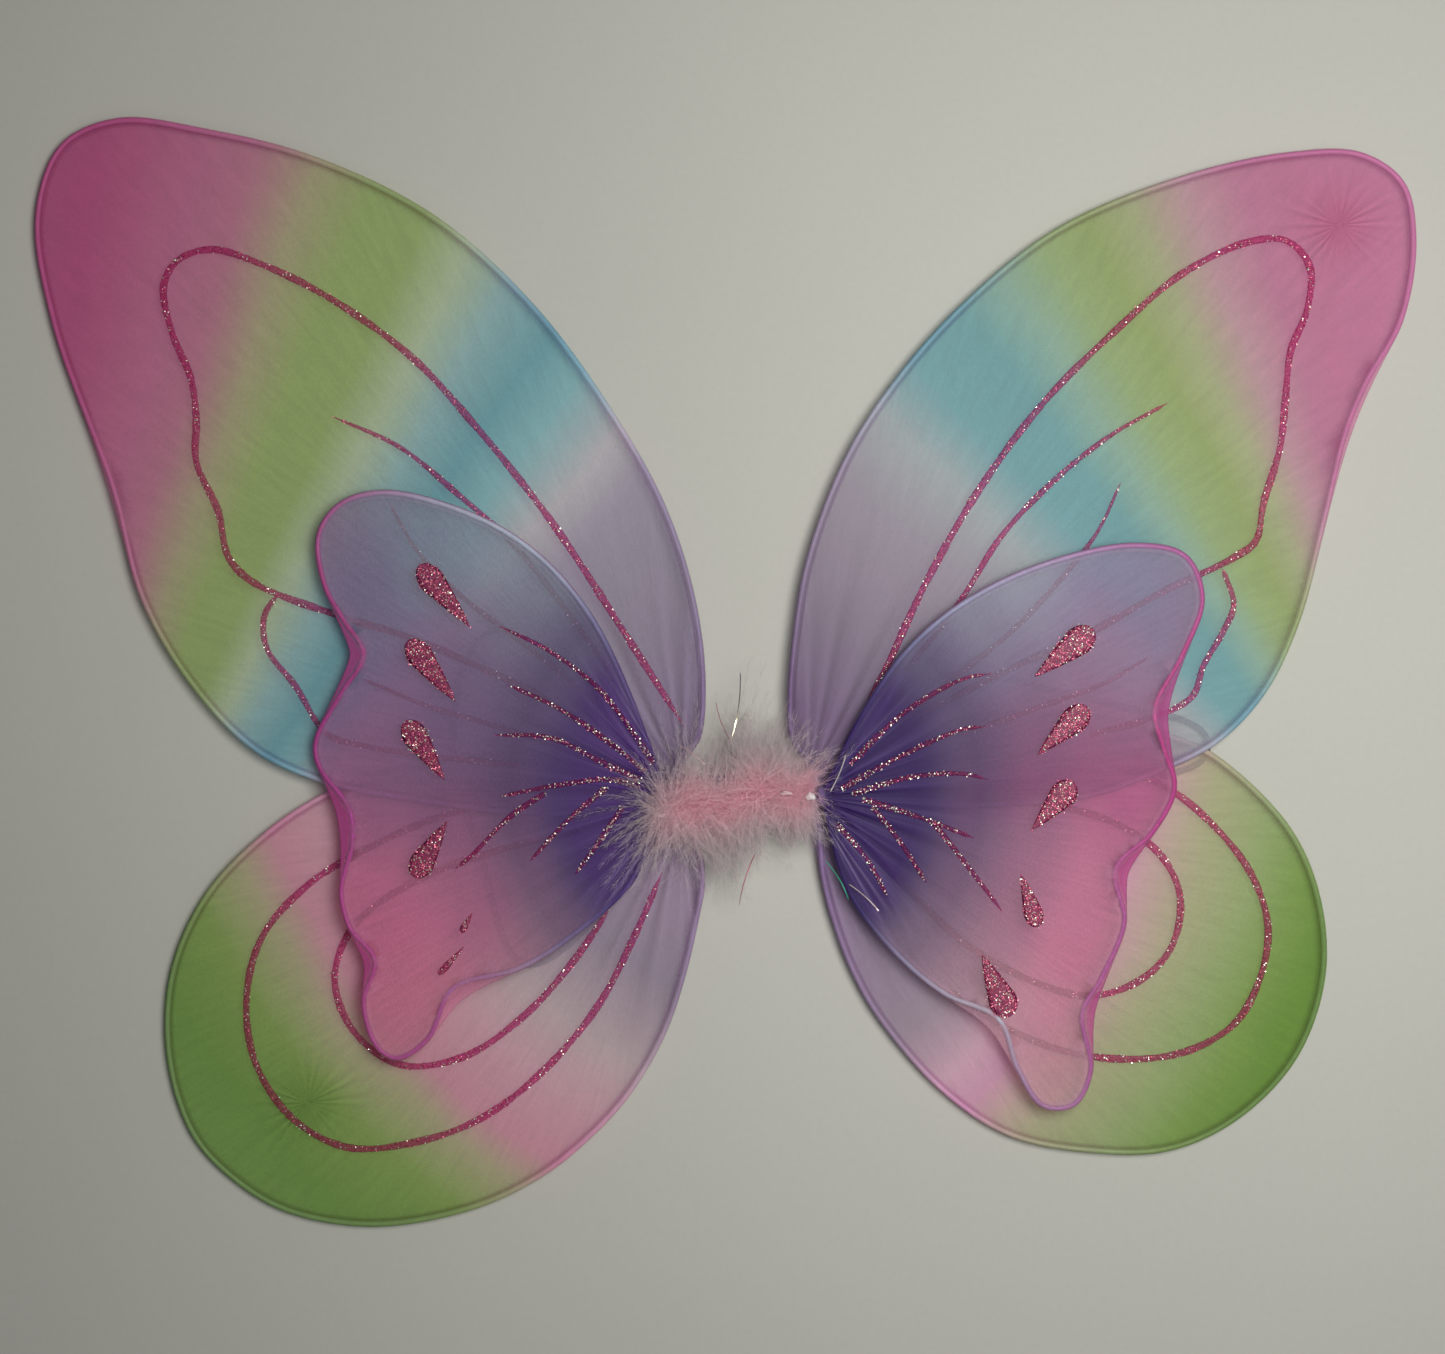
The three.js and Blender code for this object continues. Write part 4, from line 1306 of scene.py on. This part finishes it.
# ---------------------------------------------------------------- tinsel strands and glue in the down
TINSEL = [           # name, body, from, to, bow, colours from one end to the other
    ("gold_tinsel", "hub", (-1.8, 44.5), (-5.0, 20.5), 1.0,
     [(0.0, 112, 104, 128), (0.5, 150, 142, 140), (0.6, 240, 232, 190), (1.0, 250, 244, 214)]),
    ("pink_tinsel", "hub", (-10.5, 34.0), (-5.5, 20.5), -0.8, [(0.0, 206, 170, 178), (1.0, 196, 130, 142)]),
    ("rose_tinsel", "hub", (-2.2, -39.0), (3.6, -20.0), 0.8,
     [(0.0, 200, 170, 160), (0.5, 204, 110, 130), (1.0, 214, 130, 150)]),
    ("pale_tinsel", "left_small_wing", (-23.5, 18.5), (-14.5, 11.5), 0.4,
     [(0.0, 226, 190, 196), (1.0, 236, 200, 204)]),
    ("short_tinsel", "left_small_wing", (-17.8, 4.4), (-14.1, -0.4), 0.3,
     [(0.0, 236, 190, 196), (1.0, 255, 236, 236)]),
    ("white_tinsel", "right_small_wing", (35.9, 14.9), (30.5, 1.8), 0.4,
     [(0.0, 250, 250, 244), (1.0, 232, 226, 230)]),
    ("green_tinsel", "right_small_wing", (28.6, -22.8), (37.0, -37.0), 0.9,
     [(0.0, 92, 214, 176), (0.5, 84, 206, 170), (1.0, 60, 150, 140)]),
    ("blush_tinsel", "right_small_wing", (37.0, -31.2), (47.8, -41.0), 0.6,
     [(0.0, 236, 214, 218), (0.5, 255, 236, 226), (1.0, 226, 196, 204)]),
]
TINSEL_HALF_WIDTH = 0.21
TINSEL_THICKNESS = 0.03


def tinsel_material(name, rows):
    n = Nodes(name)
    facet = n.noise(n.coords(), 700.0, 1.0)
    colour = n.ramp(n.plus(n.attribute("along"), n.span(facet, 0.3, 0.7, -0.12, 0.12)), colours(rows))
    return n.finish(n.principled(colour, n.span(facet, 0.3, 0.7, 0.12, 0.28), n.bump(facet, 0.0001, 0.3),
                                 Metallic=0.45, Coat_Weight=0.4))


def make_tinsel(name, body, start, end, bow, rows):
    """A flat strand of foil, bowed a little and rolling slowly from end to end."""
    count = 22
    s = np.linspace(0, 1, count)
    way = np.array(end) - np.array(start)
    normal = np.array([-way[1], way[0]]) / np.linalg.norm(way)
    flat = np.array(start) + way * s[:, None] + normal * (bow * 4 * s * (1 - s))[:, None]
    if body == "hub":
        z = 17.5 - 7.5 * (1 - s) * 0.5
    else:
        z = 15.6 - 2.3 * s * 0.5
    line = np.column_stack([flat, z + 0.5 * np.sin(s * 5)])
    half = TINSEL_HALF_WIDTH * np.clip(np.minimum(s, 1 - s) * 12 + 0.35, 0, 1)
    roll = 0.5 * np.sin(s * 3 + bow)
    across = np.column_stack([np.outer(np.cos(roll), normal), np.sin(roll)]) * half[:, None]
    lift = np.array([0, 0, TINSEL_THICKNESS])
    points = np.stack([line - across, line + across, line + across + lift, line - across + lift], axis=1)
    last = 4 * (count - 1)
    quads = np.vstack([ring_quads(count, 4), [[3, 2, 1, 0]], [[last, last + 1, last + 2, last + 3]]])
    mesh_piece(name, points.reshape(-1, 3), [quads], body, tinsel_material(name, rows),
               smooth=False, floats={"along": np.repeat(s, 4)})


def dried_glue_material():
    n = Nodes("dried_glue")
    cloud = n.noise(n.coords(), 500.0, 3.0)
    colour = n.ramp(cloud, colours([(0.3, 214, 196, 200), (0.7, 246, 240, 238)]))
    return n.finish(n.principled(colour, n.span(cloud, 0.2, 0.8, 0.2, 0.35), n.bump(cloud, 0.0004, 0.4),
                                 Subsurface_Weight=0.2, Subsurface_Scale=0.001))


def make_bead(name, place, size, material):
    """A lumpy blob of dried glue."""
    rows, around = 10, 20
    u = np.linspace(0, math.pi, rows + 2)[1:-1]
    uu, vv = np.meshgrid(u, angles(around), indexing="ij")
    lump = 1 + 0.16 * np.sin(3 * vv + 2 * uu) * np.sin(uu) + 0.08 * np.sin(5 * vv - uu)
    points = np.stack([np.sin(uu) * np.cos(vv) * lump * size[0], np.sin(uu) * np.sin(vv) * lump * size[1],
                       np.cos(uu) * lump * size[2]], axis=2).reshape(-1, 3)
    points = np.vstack([points, [[0, 0, size[2]], [0, 0, -size[2]]]]) + np.array(place)
    mesh_piece(name, points, [ring_quads(rows, around), end_tris(rows, around)], "right_small_wing", material)


for strand in TINSEL:
    make_tinsel(*strand)
dried_glue = dried_glue_material()
make_bead("large_glue_bead", (23.2, 0.2, 17.6), (1.8, 1.4, 1.1), dried_glue)
make_bead("small_glue_bead", (14.6, 1.4, 17.8), (2.2, 0.8, 0.8), dried_glue)


# ---------------------------------------------------------------- stage and light
FLOOR_HALF = 1600.0
FLOOR_Z = -0.2


def floor_material():
    n = Nodes("table_top")
    soft = n.noise(n.coords(), 3.0)
    grain = n.noise(n.coords(), 420.0, 2.0)
    shade = n.plus(n.times(soft, 0.7), n.times(grain, 0.3))
    colour = n.ramp(shade, colours([(0.3, 196, 195, 188), (0.7, 203, 202, 195)]))
    return n.finish(n.principled(colour, 0.6, n.bump(grain, 0.0001, 0.2), Specular_IOR_Level=0.25))


def make_stage():
    mesh = bpy.data.meshes.new("table_top")
    corners = [(x * FLOOR_HALF * MM, y * FLOOR_HALF * MM, FLOOR_Z * MM)
               for x, y in ((-1, -1), (1, -1), (1, 1), (-1, 1))]
    mesh.from_pydata(corners, [], [(0, 1, 2, 3)])
    floor = new_object("table_top", mesh, None, floor_material())


def area_light(name, place, aim, size, power, colour):
    """A round light; its place, aim and size are in metres."""
    data = bpy.data.lights.new(name, "AREA")
    data.shape = "DISK"
    data.size = size
    data.energy = power
    data.color = colour
    light = bpy.data.objects.new(name, data)
    light.location = place
    light.rotation_euler = (Vector(aim) - Vector(place)).to_track_quat("-Z", "Y").to_euler()
    light.visible_camera = False
    bpy.context.collection.objects.link(light)


def light_world(colour, strength):
    world = bpy.data.worlds.new("studio")
    world.use_nodes = True
    background = world.node_tree.nodes["Background"]
    background.inputs["Color"].default_value = colour
    background.inputs["Strength"].default_value = strength
    bpy.context.scene.world = world


make_stage()
area_light("key", (0.215, 0.13, 0.67), (0.20, 0.12, 0.0), 0.42, 4.0, (1.0, 0.995, 0.95))
area_light("fill", (0.4, -0.9, 1.2), (0.05, 0.0, 0.0), 1.2, 1.6, (0.97, 0.98, 1.0))
light_world((0.95, 0.97, 1.0, 1.0), 0.085)
